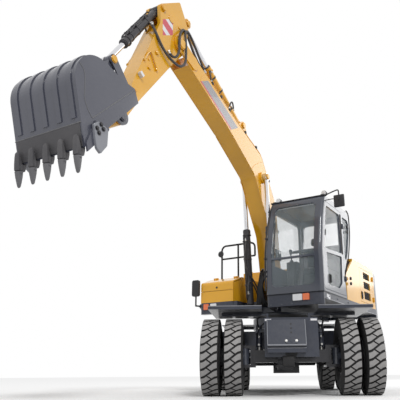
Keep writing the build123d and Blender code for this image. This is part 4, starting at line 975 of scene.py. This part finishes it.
def cushion(name, low, high, lean, limit):
    """A cushion between two corners; limit is how far the air may move its cloth."""
    bm = bmesh.new()
    add_box(bm, low, high, CUSHION_ROUNDING)
    bmesh.ops.transform(bm, matrix=lean, verts=bm.verts)
    pad = make_object(name, bm, [SEAT_CLOTH], UPPER)
    remesh = pad.modifiers.new("fine", "REMESH")
    remesh.mode = "VOXEL"
    remesh.voxel_size = VOXEL
    pad.data = shaped(pad)
    before = [v.co.copy() for v in pad.data.vertices]
    cloth = pad.modifiers.new("cloth", "CLOTH")
    cloth.settings.use_pressure = True
    cloth.settings.uniform_pressure_force = AIR_PRESSURE
    cloth.settings.effector_weights.gravity = 0
    for step in range(1, CLOTH_FRAMES + 1):
        bpy.context.scene.frame_set(step)
    blown = shaped(pad)
    for vert, old in zip(blown.vertices, before):
        move = vert.co - old
        vert.co = old + move * min(1.0, limit / max(move.length, 1e-6))
    pad.data = blown
    bpy.context.scene.frame_set(1)
    pad.data.materials.clear()
    pad.data.materials.append(SEAT_CLOTH)
    pad.data.polygons.foreach_set("use_smooth", [True] * len(pad.data.polygons))
    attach(pad, "upper_structure")
    print(name, len(pad.data.polygons), "faces")
    return pad


BACK_LEAN = Matrix.Translation((0, -0.165, 1.980)) @ Matrix.Rotation(math.radians(-9), 4, "X")
seat_cushion = cushion("seat_cushion", (0.552, -0.688, 1.882), (0.968, -0.205, 1.978), Matrix(), 0.018)
cushion("seat_back", (0.562, -0.095, 0.020), (0.958, -0.010, 0.470), BACK_LEAN, 0.018)
cushion("head_rest", (0.640, -0.080, 0.495), (0.880, -0.012, 0.640), BACK_LEAN, 0.012)
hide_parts("seat")
posts = bmesh.new()
for x in (0.700, 0.820):
    add_rod(posts, BACK_LEAN @ Vector((x, -0.045, 0.455)), BACK_LEAN @ Vector((x, -0.045, 0.510)), 0.007, 10)
finish_piece("head_rest_posts", posts, [CHROME], "upper_structure", UPPER)

# %% [markdown]
# ## Mirrors
#
# The left mirror hangs outside the cab's front corner on a bent bar, and the right one stands on the deck.
# A head is a shallow moulded shell with a glass let into its back. A small round mirror is on the handrail.

# %% Mirrors
LEFT_MIRROR_BOXES = [
    ((1.440, -1.085, 2.830), (1.620, -1.045, 3.040), 0.018),
    ((1.188, -0.905, 3.085), (1.236, -0.855, 3.150), 0.008),
    ((1.522, -1.098, 2.945), (1.546, -1.083, 3.000), 0.005),
    ((1.452, -1.047, 2.842), (1.608, -1.042, 3.028), 0.003, 1),
]
LEFT_MIRROR_BAR = [
    (1.205, -0.880, 3.120), (1.260, -0.915, 3.128), (1.440, -1.020, 3.132), (1.520, -1.060, 3.130),
    (1.530, -1.065, 3.095), (1.530, -1.065, 3.020),
]
mirror = bmesh.new()
add_boxes(mirror, LEFT_MIRROR_BOXES)
add_hose(mirror, LEFT_MIRROR_BAR, 0.011)
add_hose(mirror, [(1.225, -0.930, 3.020), (1.300, -0.985, 3.020), (1.445, -1.060, 2.985)], 0.008)
left_mirror = finish_piece("left_mirror", mirror, [BLACK, MIRROR], "upper_structure", UPPER)
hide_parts("mirror_left")
RAIL_X, RAIL_MIRROR_Z = -1.03, 2.45
mirror = bmesh.new()
add_box(mirror, (-1.350, -0.947, 1.635), (-1.224, -0.942, 1.897), 0.003, 1)
add_rod(mirror, (RAIL_X, -0.486, 2.30), (RAIL_X, -0.520, 2.42), 0.006, 8)
add_rod(mirror, (RAIL_X, -0.520, RAIL_MIRROR_Z), (RAIL_X, -0.535, RAIL_MIRROR_Z), 0.060, 24, soft=0.005)
add_rod(mirror, (RAIL_X, -0.5195, RAIL_MIRROR_Z), (RAIL_X, -0.518, RAIL_MIRROR_Z), 0.054, 24, 1)
finish_piece("mirror_details", mirror, [BLACK, MIRROR], "upper_structure", UPPER)

# %% [markdown]
# ## Stripe and sign
#
# The boom carries a plain grey stripe with a red lower line, and the stick a plain red and white sign.
# Paint film is thin, so each is a plate of a millimetre or so.

# %% Stripe and sign
BOOM_FACE, STICK_FACE = 0.150, 0.130
FILM, LINE_FILM = 0.0009, 0.0015
STRIPE = [(2.085, 4.122), (3.005, 4.552), (2.790, 4.676), (1.835, 4.262)]
RED_LINE = [(2.085, 4.124), (3.003, 4.553), (2.975, 4.573), (2.060, 4.147)]
stripe = bmesh.new()
for hand in HANDS:
    plane = side_plane(hand * BOOM_FACE)
    add_plate(stripe, STRIPE, plane, hand * FILM, 0, rounding=0.02)
    add_plate(stripe, RED_LINE, plane, hand * LINE_FILM, 1)
finish_piece("boom_stripe", stripe, [STRIPE_GREY, STRIPE_RED], "boom", BOOM)

SIGN_TOP, SIGN_LEFT, SIGN_FOOT, SIGN_RIGHT = (2.224, 0.338), (1.968, 0.443), (1.763, 0.287), (2.011, 0.178)
SIGN_BANDS = [
    # share of the way from its top to its foot: start, end; finish
    (0.0, 0.20, 1), (0.20, 0.36, 0), (0.36, 0.64, 1), (0.64, 0.82, 0), (0.82, 1.0, 1),
]


def stick_plane(x):
    """The plane of the stick's left face, whose pairs run along it and across it."""
    return Matrix(((0, 0, 1, x), (1, 0, 0, 0), (0, 1, 0, 0), (0, 0, 0, 1)))


def sign_edge(share, corner):
    """A place on the sign's edge that runs over its left or right corner."""
    start, end, part = (SIGN_TOP, corner, share * 2) if share <= 0.5 else (corner, SIGN_FOOT, share * 2 - 1)
    return (start[0] + (end[0] - start[0]) * part, start[1] + (end[1] - start[1]) * part)


sign = bmesh.new()
for hand in HANDS:
    for start, end, finish in SIGN_BANDS:
        rows = sorted({start, end} | ({0.5} if start < 0.5 < end else set()))
        corners = [sign_edge(row, SIGN_LEFT) for row in rows] + [sign_edge(row, SIGN_RIGHT) for row in reversed(rows)]
        corners = [c for i, c in enumerate(corners) if (Vector(c) - Vector(corners[i - 1])).length > 1e-4]
        add_plate(sign, corners, stick_plane(hand * STICK_FACE), hand * FILM, finish)
finish_piece("stick_sign", sign, [PLATE_WHITE, STRIPE_RED], "stick", STICK)

# %% [markdown]
# ## Welds and pipe clamps of the boom
#
# The boom is a box of welded plates. Beads cross its faces where two plates meet, and run along its lower
# corners. Black clamps hold the pipes on its back.

# %% Welds and clamps
BUTT_WELDS = [
    [(0.700, 2.780), (0.560, 2.800), (0.390, 2.830)],
    [(1.360, 3.690), (1.180, 3.860), (0.930, 3.960)],
    [(3.010, 4.545), (2.960, 4.680), (2.890, 4.760)],
]
CORNER_WELDS = [
    [(0.500, 1.830), (0.650, 2.640)], [(0.670, 2.680), (1.225, 3.560)],
    [(1.270, 3.615), (2.070, 4.075)], [(2.105, 4.098), (3.460, 4.730)],
]
CLAMPS = [
    (0.340, 2.776), (0.675, 3.680), (1.160, 4.168), (2.100, 4.485), (2.640, 4.708), (0.392, 3.255), (1.560, 4.298),
    (2.370, 4.600),
]
PIPE_X = 0.125
beads = bmesh.new()
for hand in HANDS:
    for weld in BUTT_WELDS:
        side_hose(beads, weld, hand * (BOOM_FACE + 0.0005), 0.004)
    for weld in CORNER_WELDS:
        side_hose(beads, weld, hand * (BOOM_FACE - 0.002), 0.0065)
add_hose(beads, [side(0.702, 2.780, x) for x in (-BOOM_FACE, 0.0, BOOM_FACE)], 0.004)
finish_piece("boom_welds", beads, [YELLOW], "boom", BOOM)

clamps = bmesh.new()
for place in CLAMPS:
    for hand in HANDS:
        centre, half = side(*place, hand * PIPE_X), Vector((0.028, 0.024, 0.024))
        add_box(clamps, centre - half, centre + half, 0.007)
finish_piece("pipe_clamps", clamps, [BLACK], "boom", BOOM)

# %% [markdown]
# ## Pipes and bosses of the stick
#
# A short pipe links two bosses on each face of the stick, and further bosses and two bolts stand by them.

# %% Pipes and bosses of the stick
STICK_PIPE = [(4.300, 4.210), (4.262, 4.300), (4.200, 4.385), (4.160, 4.360), (4.110, 4.280), (4.045, 4.190)]
STICK_BOSSES = [
    # forward, height, radius, how far out
    (4.045, 4.450, 0.030, 0.022), (4.187, 4.138, 0.026, 0.020), (4.300, 4.205, 0.024, 0.024),
    (4.042, 4.186, 0.024, 0.024), (3.760, 5.190, 0.060, 0.012), (3.557, 5.169, 0.022, 0.014),
]
STICK_BOLTS = [(4.199539, 4.255590), (4.417966, 3.678494)]
lines = bmesh.new()
for hand in HANDS:
    side_hose(lines, STICK_PIPE, hand * (STICK_FACE + 0.016), 0.011)
    for forward, height, radius, out in STICK_BOSSES:
        ends = [side(forward, height, hand * x) for x in (STICK_FACE, STICK_FACE + out)]
        add_rod(lines, *ends, radius, 20, soft=0.004)
    for place in STICK_BOLTS:
        add_bolt(lines, side(*place, hand * STICK_FACE), (hand, 0, 0), 0.014)
finish_piece("stick_lines", lines, [YELLOW], "stick", BOOM)

# %% [markdown]
# ## Cylinders
#
# A cylinder is more than a tube and a rod: a bolted gland holds the rod's seals, a wiper ring stands out
# at its lip, and steel pipes strapped to the barrel bring the oil to both of its ends.

# %% Glands, straps and side pipes
CYLINDERS = [
    # name, base pin, eye pin, barrel end, barrel radius, rod radius, x of each, side of the pipe, finish
    ("lift", (0.765, 1.370), (0.965, 3.640), 1.345, 0.060, 0.038, (-0.225, 0.225), 1, CYLINDER_GREY),
    ("crowd", (1.560, 4.440), (3.290, 5.440), 1.210, 0.064, 0.042, (0.0,), 1, YELLOW),
    ("curl", (3.950, 5.245), (4.857, 3.873), 1.085, 0.057, 0.037, (0.0,), -1, CYLINDER_GREY),
]
PIPE_RADIUS, STRAP_WIDTH = 0.0105, 0.026


def cylinder_details(parts, base, eye, end, barrel, rod, x, pipe_side):
    """Rings, bolts, pipes and straps of one cylinder whose base pin and eye pin are given."""
    start = side(*base, x)
    way = (side(*eye) - side(*base)).normalized()
    front, across = Vector((0, -way.z, way.y)), Vector((1, 0, 0))
    rings = [
        # from, to, radius, sides, finish
        (end + 0.013, end + 0.032, rod + 0.022, 28, 1),
        (end - 0.082, end - 0.060, barrel + 0.016, 32, 0),
        (0.062, 0.085, barrel + 0.006, 28, 0),
    ]
    for near, far, radius, sides, finish in rings:
        add_rod(parts, start + way * near, start + way * far, radius, sides, finish, soft=0.004)
    for ahead, aside in circle(8, barrel - 0.006, 0.5):
        add_bolt(parts, start + way * (end + 0.013) + front * ahead + across * aside, way, 0.0075, 1)
    lane = 0.5 * barrel
    out = pipe_side * (barrel + 0.018)
    for shift, first in ((-lane, 0.14), (lane, 0.30)):
        pipe = [
            (first, out * 0.6), (first + 0.015, out), (first + 0.10, out), (end - 0.16, out), (end - 0.075, out),
            (end - 0.06, out * 0.75),
        ]
        add_hose(parts, [start + way * d + front * o + across * shift for d, o in pipe], PIPE_RADIUS)
    for distance in (0.38, end * 0.62, end - 0.2):
        strap = start + way * distance
        middle = strap + way * STRAP_WIDTH / 2
        add_rod(parts, strap, strap + way * STRAP_WIDTH, barrel + 0.005, 28, 1)
        saddle = frame_of(middle + front * out * 0.97, across, way, front)
        add_box(parts, (-lane - 0.018, -0.013, -0.014), (lane + 0.018, 0.013, 0.014), 0.004, 1, saddle)
        add_bolt(parts, middle + front * out * 1.15, front * pipe_side, 0.008, 1)


for name, base, eye, end, barrel, rod, lanes, pipe_side, look in CYLINDERS:
    parts = bmesh.new()
    for x in lanes:
        cylinder_details(parts, base, eye, end, barrel, rod, x, pipe_side)
    finish_piece(name + "_cylinder_details", parts, [look, CYLINDER_GREY], name + "_barrel", BOOM)

# %% [markdown]
# ## Hoses at the head of the boom
#
# Hoses cross each joint in an easy loop, because they have to follow it. Each group of hoses is one piece
# that stays where it is made, carried by neither body.

# %% Hoses at the head of the boom
FERRULE = 0.045


def hose_piece(name, routes, radius, bodies, start, end, rubber_look=HOSE_GREY):
    """Hoses that cross one joint; a route is a list of places in the boom's frame."""
    bm = bmesh.new()
    for route in routes:
        add_hose(bm, route, radius, ferrules=FERRULE)
    piece = make_object(name, bm, [rubber_look, BRIGHT_STEEL], BOOM)
    BOOM @ side(*start)
    BOOM @ side(*end)
    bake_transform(piece)
    print(name, len(piece.data.polygons), "faces between", bodies)


def places(rows, hand=1):
    """Places in the boom's frame from rows of x, forward and height, mirrored by a hand of -1."""
    return [side(forward, height, hand * x) for x, forward, height in rows]


OUTER_LOOP = [
    (0.080, 4.128, 4.899), (0.120, 4.115, 4.800), (0.150, 4.070, 4.690), (0.160, 3.985, 4.585),
    (0.172, 3.864, 4.500), (0.188, 3.730, 4.455), (0.200, 3.590, 4.455), (0.200, 3.470, 4.580),
    (0.200, 3.465, 4.780), (0.195, 3.470, 4.960), (0.170, 3.470, 5.130), (0.140, 3.370, 5.240),
    (0.125, 3.240, 5.200), (0.125, 3.060, 5.030), (0.125, 2.850, 4.795),
]
INNER_LOOP = [
    (0.134, 3.800, 4.620), (0.165, 3.760, 4.545), (0.190, 3.680, 4.570), (0.200, 3.630, 4.700),
    (0.200, 3.640, 4.830), (0.192, 3.620, 5.010), (0.165, 3.520, 5.160), (0.120, 3.380, 5.215),
    (0.095, 3.240, 5.140), (0.090, 3.080, 4.960), (0.095, 2.850, 4.800),
]
loops = [places(OUTER_LOOP), places(INNER_LOOP)]
hose_piece("head_hoses", loops, 0.019, ("stick", "boom"), (3.760, 4.480), (3.280, 5.160))

# %% [markdown]
# ## Hoses to the cylinders of the stick
#
# The stick's cylinder has two pairs of hoses from the boom's pipes, and the bucket's cylinder a short one.

# %% Hoses to the cylinders of the stick
CURL_HOSE = [(-0.085, 4.135, 4.960), (-0.085, 4.090, 4.960), (-0.085, 4.020, 4.860), (-0.102, 3.990, 4.800)]
CROWD_HOSES = [
    [
        (0.125, 2.100, 4.500), (0.125, 2.060, 4.640), (0.1125, 1.960, 4.720), (0.075, 1.860, 4.640),
        (0.050, 1.820, 4.640),
    ],
    [(0.125, 2.640, 4.720), (0.125, 2.700, 4.860), (0.0875, 2.660, 4.960), (0.0625, 2.560, 4.985)],
]
hose_piece("curl_hoses", [places(CURL_HOSE)], 0.014, ("stick", "curl_barrel"), (3.99, 4.80), (4.13, 4.96))
routes = [places(rows, hand) for rows in CROWD_HOSES for hand in HANDS]
hose_piece("crowd_hoses", routes, 0.013, ("boom", "crowd_barrel"), (2.1, 4.50), (2.02, 4.74))

# %% [markdown]
# ## Hoses from the deck
#
# Five hoses rise from the deck to the boom's belly in a bundle, and each boom cylinder has two of its own.

# %% Hoses from the deck to the boom and its cylinders
DECK_HOSE = [
    # share of the hose's x, forward, height, and what each further hose adds to forward and to height
    (1.0, 0.590, 1.400, 0.0, 0.02), (1.0, 0.760, 1.370, 0.0, 0.0), (1.0, 0.930, 1.500, -0.05, 0.0),
    (0.95, 0.975, 1.700, -0.06, 0.0), (0.9, 0.860, 1.860, -0.05, 0.0), (0.8, 0.640, 1.930, 0.0, 0.02),
    (0.8, 0.525, 1.950, 0.0, 0.03),
]
deck_hoses = [
    [side(forward + i * on, height + i * up, x * share) for share, forward, height, on, up in DECK_HOSE]
    for i, x in enumerate((0.105, 0.055, 0.000, -0.055, -0.105))
]
hose_piece("foot_hoses", deck_hoses, 0.019, ("upper_structure", "boom"), (0.90, 1.50), (0.60, 1.94), HOSE_RUBBER)
LIFT_HOSES = [
    [
        (0.160, 0.560, 1.500), (0.160, 0.640, 1.620), (0.165, 0.740, 1.760), (0.185, 0.880, 1.830),
        (0.205, 0.905, 1.740), (0.205, 0.870, 1.600),
    ],
    [
        (0.130, 0.560, 1.560), (0.140, 0.700, 1.760), (0.160, 0.860, 1.900), (0.190, 0.985, 2.020),
        (0.210, 1.020, 2.200), (0.210, 0.960, 2.420), (0.215, 0.935, 2.560),
    ],
]
routes = [places(rows, hand) for hand in HANDS for rows in LIFT_HOSES]
hose_piece("lift_hoses", routes, 0.013, ("upper_structure", "lift_barrel"), (0.66, 1.65), (0.90, 1.85))

# %% [markdown]
# ## Front plate of the chassis
#
# The front plate is folded with a rolled edge that catches the light, and it carries an inspection cover,
# two blank plates and the marks of its fasteners. Under it is the opening of the towing eye.

# %% Front plate
FOLD_TOP, FOLD_FOOT = Vector((0, -2.331, 1.000)), Vector((0, -2.431, 0.660))
ACROSS = Vector((1, 0, 0))
fold_up = (FOLD_TOP - FOLD_FOOT).normalized()
FOLD = frame_of(FOLD_FOOT, ACROSS, fold_up, ACROSS.cross(fold_up))
FOLD_MIDDLE = -0.07
TOWING = [(-0.060, 0.470), (0.045, 0.470), (0.075, 0.560), (0.035, 0.592), (-0.055, 0.592), (-0.095, 0.560)]


def on_fold(x, up, out):
    """A place on the folded plate."""
    return FOLD @ Vector((x, up, out))


front = bmesh.new()
# Pale rods on the fold's side edges and along its rolled foot are a painted highlight.
for x in (-0.330, 0.190):
    add_hose(front, [(x, *FOLD_TOP.yz), (x, *FOLD_FOOT.yz)], 0.006, 1)
for y, z, radius in ((-2.432, 0.657, 0.011), (-2.402, 0.619, 0.005)):
    add_hose(front, [(x, y, z) for x in (-0.332, FOLD_MIDDLE, 0.192)], radius, 1)
add_plate(front, rectangle((-0.095, 0.081), (0.008, 0.096), 0.042), FOLD, 0.008, soft=0.003)
add_rod(front, on_fold(-0.007, 0.052, 0.007), on_fold(-0.007, 0.052, 0.013), 0.024, 20, soft=0.003)
for x in (-0.076, 0.062):
    add_bolt(front, on_fold(x, 0.052, 0.008), on_fold(0, 0, 1) - FOLD_FOOT, 0.012, 2)
for up in (0.170, 0.230, 0.290):
    add_rod(front, on_fold(-0.005, up, -0.004), on_fold(-0.005, up, 0.002), 0.011, 16, 3)
for low, high in ((-0.368, -0.262), (0.262, 0.368)):
    add_plate(front, rectangle((low, high), (0.978, 1.020), 0.004), front_plane(-2.3005), 0.002, 4)
    add_plate(front, rectangle((low + 0.01, high - 0.01), (0.986, 1.012)), front_plane(-2.3024), 0.0008, 5)
add_plate(front, TOWING, front_plane(-2.302), 0.004, 3)
add_box(front, (-0.130, -2.330, 0.380), (0.030, -2.150, 0.520), 0.012, 3)
add_box(front, (-0.230, -2.320, 0.372), (0.020, -2.180, 0.398), 0.006, 3)

# %% [markdown]
# ## Lock lines and fenders
#
# Oil lines run down to the two cylinders that lock the front axle, each with three fittings and a bright
# rod. Pale rods along the fender plates' edges are a painted highlight, bolts are added to the plates, and all of it
# goes into one piece.

# %% Lock lines, fender edge highlights and bolts
LOCK_LINES = [
    # radius, route on the left side
    (0.012, [
        (0.33, -2.290, 1.034), (0.40, -2.285, 1.060), (0.455, -2.200, 1.045), (0.468, -2.080, 0.990),
        (0.455, -1.960, 0.940), (0.450, -1.900, 0.925),
    ]),
    (0.010, [
        (0.455, -1.900, 0.800), (0.470, -1.960, 0.800), (0.465, -2.060, 0.840), (0.420, -2.180, 0.930),
        (0.372, -2.240, 0.960),
    ]),
]
FENDER_EDGE_HIGHLIGHTS = [
    [(0.400, -2.205, 1.208), (0.780, -2.205, 1.208), (1.165, -2.205, 1.208)],
    [(0.400, 1.515, 1.208), (0.780, 1.515, 1.208), (1.165, 1.515, 1.208)],
    [(1.163, -2.198, 1.172), (1.163, -1.500, 1.172), (1.163, -0.852, 1.172)],
    [(1.163, 0.407, 1.172), (1.163, 1.000, 1.172), (1.163, 1.508, 1.172)],
]
for hand in HANDS:
    for radius, route in LOCK_LINES:
        add_hose(front, mirrored(route, hand), radius, 3)
    for height in (0.925, 0.800, 0.690):
        add_rod(front, (hand * 0.450, -1.890, height), (hand * 0.450, -1.925, height), 0.017, 6, 2, soft=0.002)
    add_rod(front, (hand * 0.445, -1.850, 0.612), (hand * 0.445, -1.850, 0.662), 0.0285, 20, 2)
    # Pale rods on the fender edges: a painted highlight.
    for route in FENDER_EDGE_HIGHLIGHTS:
        add_hose(front, mirrored(route, hand), 0.006, 1)
    for y in (-2.0, -1.2, 0.7, 1.3):
        add_bolt(front, (hand * 0.480, y, 1.173), (0, 0, 1), 0.010, 2)
looks = [FRAME_GREY_WITH_UNDERSIDE_SHADE, PALE_GREY_AND_EDGE_HIGHLIGHT, BRIGHT_STEEL, RAIL_BLACK, ARM_GREY, PLATE_WHITE]
finish_piece("chassis_details", front, looks, "undercarriage")

# %% [markdown]
# ## Steps and boxes between the wheels
#
# The steps on each side have bars against slipping, and the two boxes above them lids with a handle.

# %% Steps and boxes
STEP_BARS, STEP_PITCH, STEP_START = 12, 0.084, -0.690
STEP_X, STEP_HALF, LID_X, LID_THICK = 0.95, 0.235, 1.150, 0.006
steps = bmesh.new()
for hand in HANDS:
    for i in range(STEP_BARS):
        y, x = STEP_START + i * STEP_PITCH, hand * STEP_X
        add_box(steps, (x - STEP_HALF, y - 0.008, 0.428), (x + STEP_HALF, y + 0.008, 0.438), 0.002, 1)
    for low, high in ((-0.760, -0.250), (-0.210, 0.300)):
        lid = rectangle((-high, -low), (0.590, 0.930), 0.03)
        add_plate(steps, lid, side_plane(hand * LID_X), hand * LID_THICK, soft=0.002)
        middle = (low + high) / 2
        handle = [(1.154, middle - 0.07), (1.185, middle - 0.07), (1.185, middle + 0.07), (1.154, middle + 0.07)]
        add_hose(steps, [(hand * x, y, 0.86) for x, y in handle], 0.007, 1)
        for z in (0.62, 0.90):
            for y in (low + 0.04, high - 0.04):
                add_bolt(steps, (hand * (LID_X + LID_THICK), y, z), (hand, 0, 0), 0.010, 1)
finish_piece("step_details", steps, [FRAME_GREY_WITH_UNDERSIDE_SHADE, RAIL_BLACK], "undercarriage")

# %% [markdown]
# ## Axles
#
# Bolts hold the cover of each axle's gear housing and the axles' seats, and a cap with four bolts closes
# each kingpin.

# %% Covers and bolts of the axles
HOUSINGS = [
    # middle of the housing in x and y, way of each bolted face
    (-0.080, -1.850, (-1,)), (0.0, 0.950, (-1, 1)),
]
KINGPIN = Vector((0.655, -1.850, 0))
axles = bmesh.new()
for x, axle_y, ways in HOUSINGS:
    for y, z in circle(12, 0.140):
        for way in ways:
            add_bolt(axles, (x + way * 0.112, axle_y + y, 0.509 + z), (way, 0, 0), 0.009)
for hand in HANDS:
    for axle_y, top in ((-1.850, 0.614), (0.950, 0.619)):
        for shift in (-0.05, 0.05):
            add_bolt(axles, (hand * 0.40, axle_y + shift, top), (0, 0, 1), 0.014)
    x, y, _ = KINGPIN
    add_rod(axles, (hand * x, y, 0.678), (hand * x, y, 0.690), 0.050, 24, soft=0.003)
    for across, along in circle(4, 0.036, 0.5):
        add_bolt(axles, (hand * x + across, y + along, 0.689), (0, 0, 1), 0.006)
finish_piece("axle_bolts", axles, [AXLE_BLACK], "undercarriage")

# %% [markdown]
# ## Tool box and side doors
#
# The tool box has a flap with rounded corners and a lock, and each side door a pull handle in a cup.

# %% Tool box flap and door handles
flap = bmesh.new()
add_plate(flap, rectangle((-1.168, -0.565), (1.702, 1.800), 0.040), front_plane(-0.930), 0.003, soft=0.001)
add_rod(flap, (-0.866, -0.930, 1.752), (-0.866, -0.940, 1.752), 0.018, 18, 1, soft=0.002)
add_box(flap, (-0.873, -0.945, 1.748), (-0.859, -0.938, 1.756), 0.001, 1)
finish_piece("tool_box_flap", flap, [YELLOW, BLACK], "tool_box_lid", UPPER)

BODY_X, CUP_THICK = 1.220, 0.004
for hand, body in ((1, "left_side_door"), (-1, "right_side_door")):
    handle = bmesh.new()
    cup, grip = rectangle((-0.905, -0.830), (1.600, 1.750), 0.018), rectangle((-0.890, -0.850), (1.615, 1.735), 0.014)
    add_plate(handle, cup, side_plane(hand * BODY_X), hand * CUP_THICK)
    add_plate(handle, grip, side_plane(hand * (BODY_X + CUP_THICK)), hand * 0.016, soft=0.005)
    finish_piece("handle_" + body, handle, [BLACK], body, UPPER)

# %% [markdown]
# ## Deck, tail and hood
#
# The deck has a row of bolts and, along each side's edge, a pale rod that is a painted highlight; the tail has two
# lifting eyes and two red reflectors, and the tank a filler cap. The hood has a raised grille over the radiator and
# two handles.

# %% Deck, tail and hood
EYE_X, EYE_HALF, EYE_Y = 0.600, 0.045, 1.900
deck = bmesh.new()
for hand in HANDS:
    for y in (-0.95, -0.55, 0.0, 0.6, 1.2):
        add_bolt(deck, (hand * BODY_X, y, 1.440), (hand, 0, 0), 0.011)
    # A pale rod along the deck's side edge: a painted highlight.
    edge_start = -0.890 if hand < 0 else -1.080
    add_hose(deck, [(hand * 1.221, y, 1.392) for y in (edge_start, 0.4, 1.740)], 0.006, 1)
    x = hand * EYE_X
    add_rod(deck, (x, EYE_Y, 2.250), (x, EYE_Y, 2.262), 0.055, 20, soft=0.004)
    add_hose(deck, hoop(x - EYE_HALF, x + EYE_HALF, EYE_Y, 2.255, 2.320), 0.012)
    add_box(deck, (hand * 0.48 - 0.14, 2.246, 1.745), (hand * 0.48 + 0.14, 2.2515, 1.785), 0.002, 3)
for x in (0.33, 0.52, 0.70):
    add_bolt(deck, (x, -1.215, 1.330), (0, -1, 0), 0.010)
SKIRT_PLATE = [(0.905, 1.385), (1.055, 1.420), (1.055, 1.470), (0.905, 1.460)]
add_plate(deck, SKIRT_PLATE, side_plane(1.221), 0.002, 2, rounding=0.008)
for low, high, radius, soft in ((1.950, 2.010, 0.055, 0.006), (1.955, 1.966, 0.070, 0.003)):
    add_rod(deck, (-0.90, 0.30, low), (-0.90, 0.30, high), radius, 24, soft=soft)
finish_piece("deck_details", deck, [GREY, PALE_GREY_AND_EDGE_HIGHLIGHT, PLATE_WHITE, LAMP_RED], "upper_structure", UPPER)

HOOD_TOP, SLATS, SLAT_PITCH = 2.285, 14, 0.039
hood = bmesh.new()
grille = rectangle((-0.95, -0.20), (0.95, 1.55), 0.05)
add_plate(hood, grille, Matrix.Translation((0, 0, HOOD_TOP)), 0.012, soft=0.004)
for i in range(SLATS):
    y = 0.985 + i * SLAT_PITCH
    add_box(hood, (-0.90, y, 2.292), (-0.25, y + 0.020, 2.303), 0.003, 1)
for x in (0.20, 0.95):
    add_hose(hood, hoop(x, x + 0.14, 1.60, 2.283, 2.305), 0.007, 1)
finish_piece("hood_details", hood, [YELLOW, RAIL_BLACK], "engine_hood", UPPER)

# %% [markdown]
# ## Floor, lights and camera
#
# The photograph has a plain white background. Camera, mirror and see-through rays find a white world,
# while the light that falls on the machine is a little lower, so that white doesn't wash the paint out.


# %% World and floor
WORLD_LIGHT, FLOOR_LIGHT, FLOOR_SIZE = 0.64, 0.62, 60


def white_to_the_eye(finish, light_level):
    """A value that is 1 where it is seen or mirrored, and light_level where it only lights."""
    kinds = ("Camera", "Glossy", "Transmission")
    first, *others = [finish.node("ShaderNodeLightPath", output="Is " + kind + " Ray") for kind in kinds]
    seen = first
    for ray in others:
        seen = seen.maths("MAXIMUM", ray)
    return seen * (1 - light_level) + light_level


studio = Finish("studio", world=True)
studio.set(Color=(1, 1, 1, 1), Strength=white_to_the_eye(studio, WORLD_LIGHT))
bpy.context.scene.world = studio.material

ground = Finish("studio floor")
level = white_to_the_eye(ground, FLOOR_LIGHT)
shade = ground.node("ShaderNodeCombineColor", None, {0: level, 1: level, 2: level})
ground.set(Base_Color=shade, Roughness=1.0, Specular_IOR_Level=0.0)
floor_mesh = bmesh.new()
bmesh.ops.create_grid(floor_mesh, x_segments=1, y_segments=1, size=FLOOR_SIZE)
floor_data = bpy.data.meshes.new("floor")
floor_mesh.to_mesh(floor_data)
floor_mesh.free()
floor_data.materials.append(ground.material)
in_scene("floor", floor_data)
print("world and floor light at", WORLD_LIGHT, "and", FLOOR_LIGHT)

# %% [markdown]
# ## Lamps
#
# A weak, wide sun from the front gives soft shadows, and a large soft box on the left is what the glossy
# sides mirror.

# %% Sun and soft box
SUN_TILT, SUN_TURN, SUN_WIDTH = math.radians(52), math.radians(22), math.radians(14)
sun = in_scene("sun", bpy.data.lights.new("sun", "SUN"))
sun.data.energy = 1.2
sun.data.angle = SUN_WIDTH
sun.rotation_euler = (SUN_TILT, 0, SUN_TURN)
soft_box = in_scene("soft_box", bpy.data.lights.new("soft_box", "AREA"))
soft_box.data.shape = "RECTANGLE"
soft_box.data.size = 10
soft_box.data.size_y = 9
soft_box.data.energy = 520
SOFT_BOX_AT, SOFT_BOX_AIM = Vector((11.5, 6.5, 8.1)), Vector((0, -1, 2))
aim = (SOFT_BOX_AT - SOFT_BOX_AIM).to_track_quat("Z", "Y").to_matrix().to_4x4()
soft_box.matrix_world = Matrix.Translation(SOFT_BOX_AT) @ aim
print("sun", sun.data.energy, "soft box", soft_box.data.energy, "W")

# %% [markdown]
# ## Camera
#
# The camera stands low in front of the machine and looks up at it, with its frame shifted to one side.

# %% Camera
YAW, PITCH, ROLL = -0.042, 0.323, -0.008
CAMERA_AT = (-0.381, -9.662, 0.296)
camera = in_scene("camera", bpy.data.cameras.new("camera"))
bpy.context.scene.camera = camera
ahead = Vector((math.sin(YAW) * math.cos(PITCH), math.cos(YAW) * math.cos(PITCH), math.sin(PITCH)))
level_right = Vector((math.cos(YAW), -math.sin(YAW), 0))
straight_up = level_right.cross(ahead)
right = math.cos(ROLL) * level_right + math.sin(ROLL) * straight_up
top = -math.sin(ROLL) * level_right + math.cos(ROLL) * straight_up
camera.matrix_world = frame_of(CAMERA_AT, right, top, -ahead)
camera.data.sensor_width = 36
camera.data.lens = 46.7
camera.data.shift_x = -0.1
camera.data.clip_end = 200
bpy.context.scene.view_settings.view_transform = "Standard"
print("camera at", CAMERA_AT, "with a lens of", camera.data.lens, "mm")
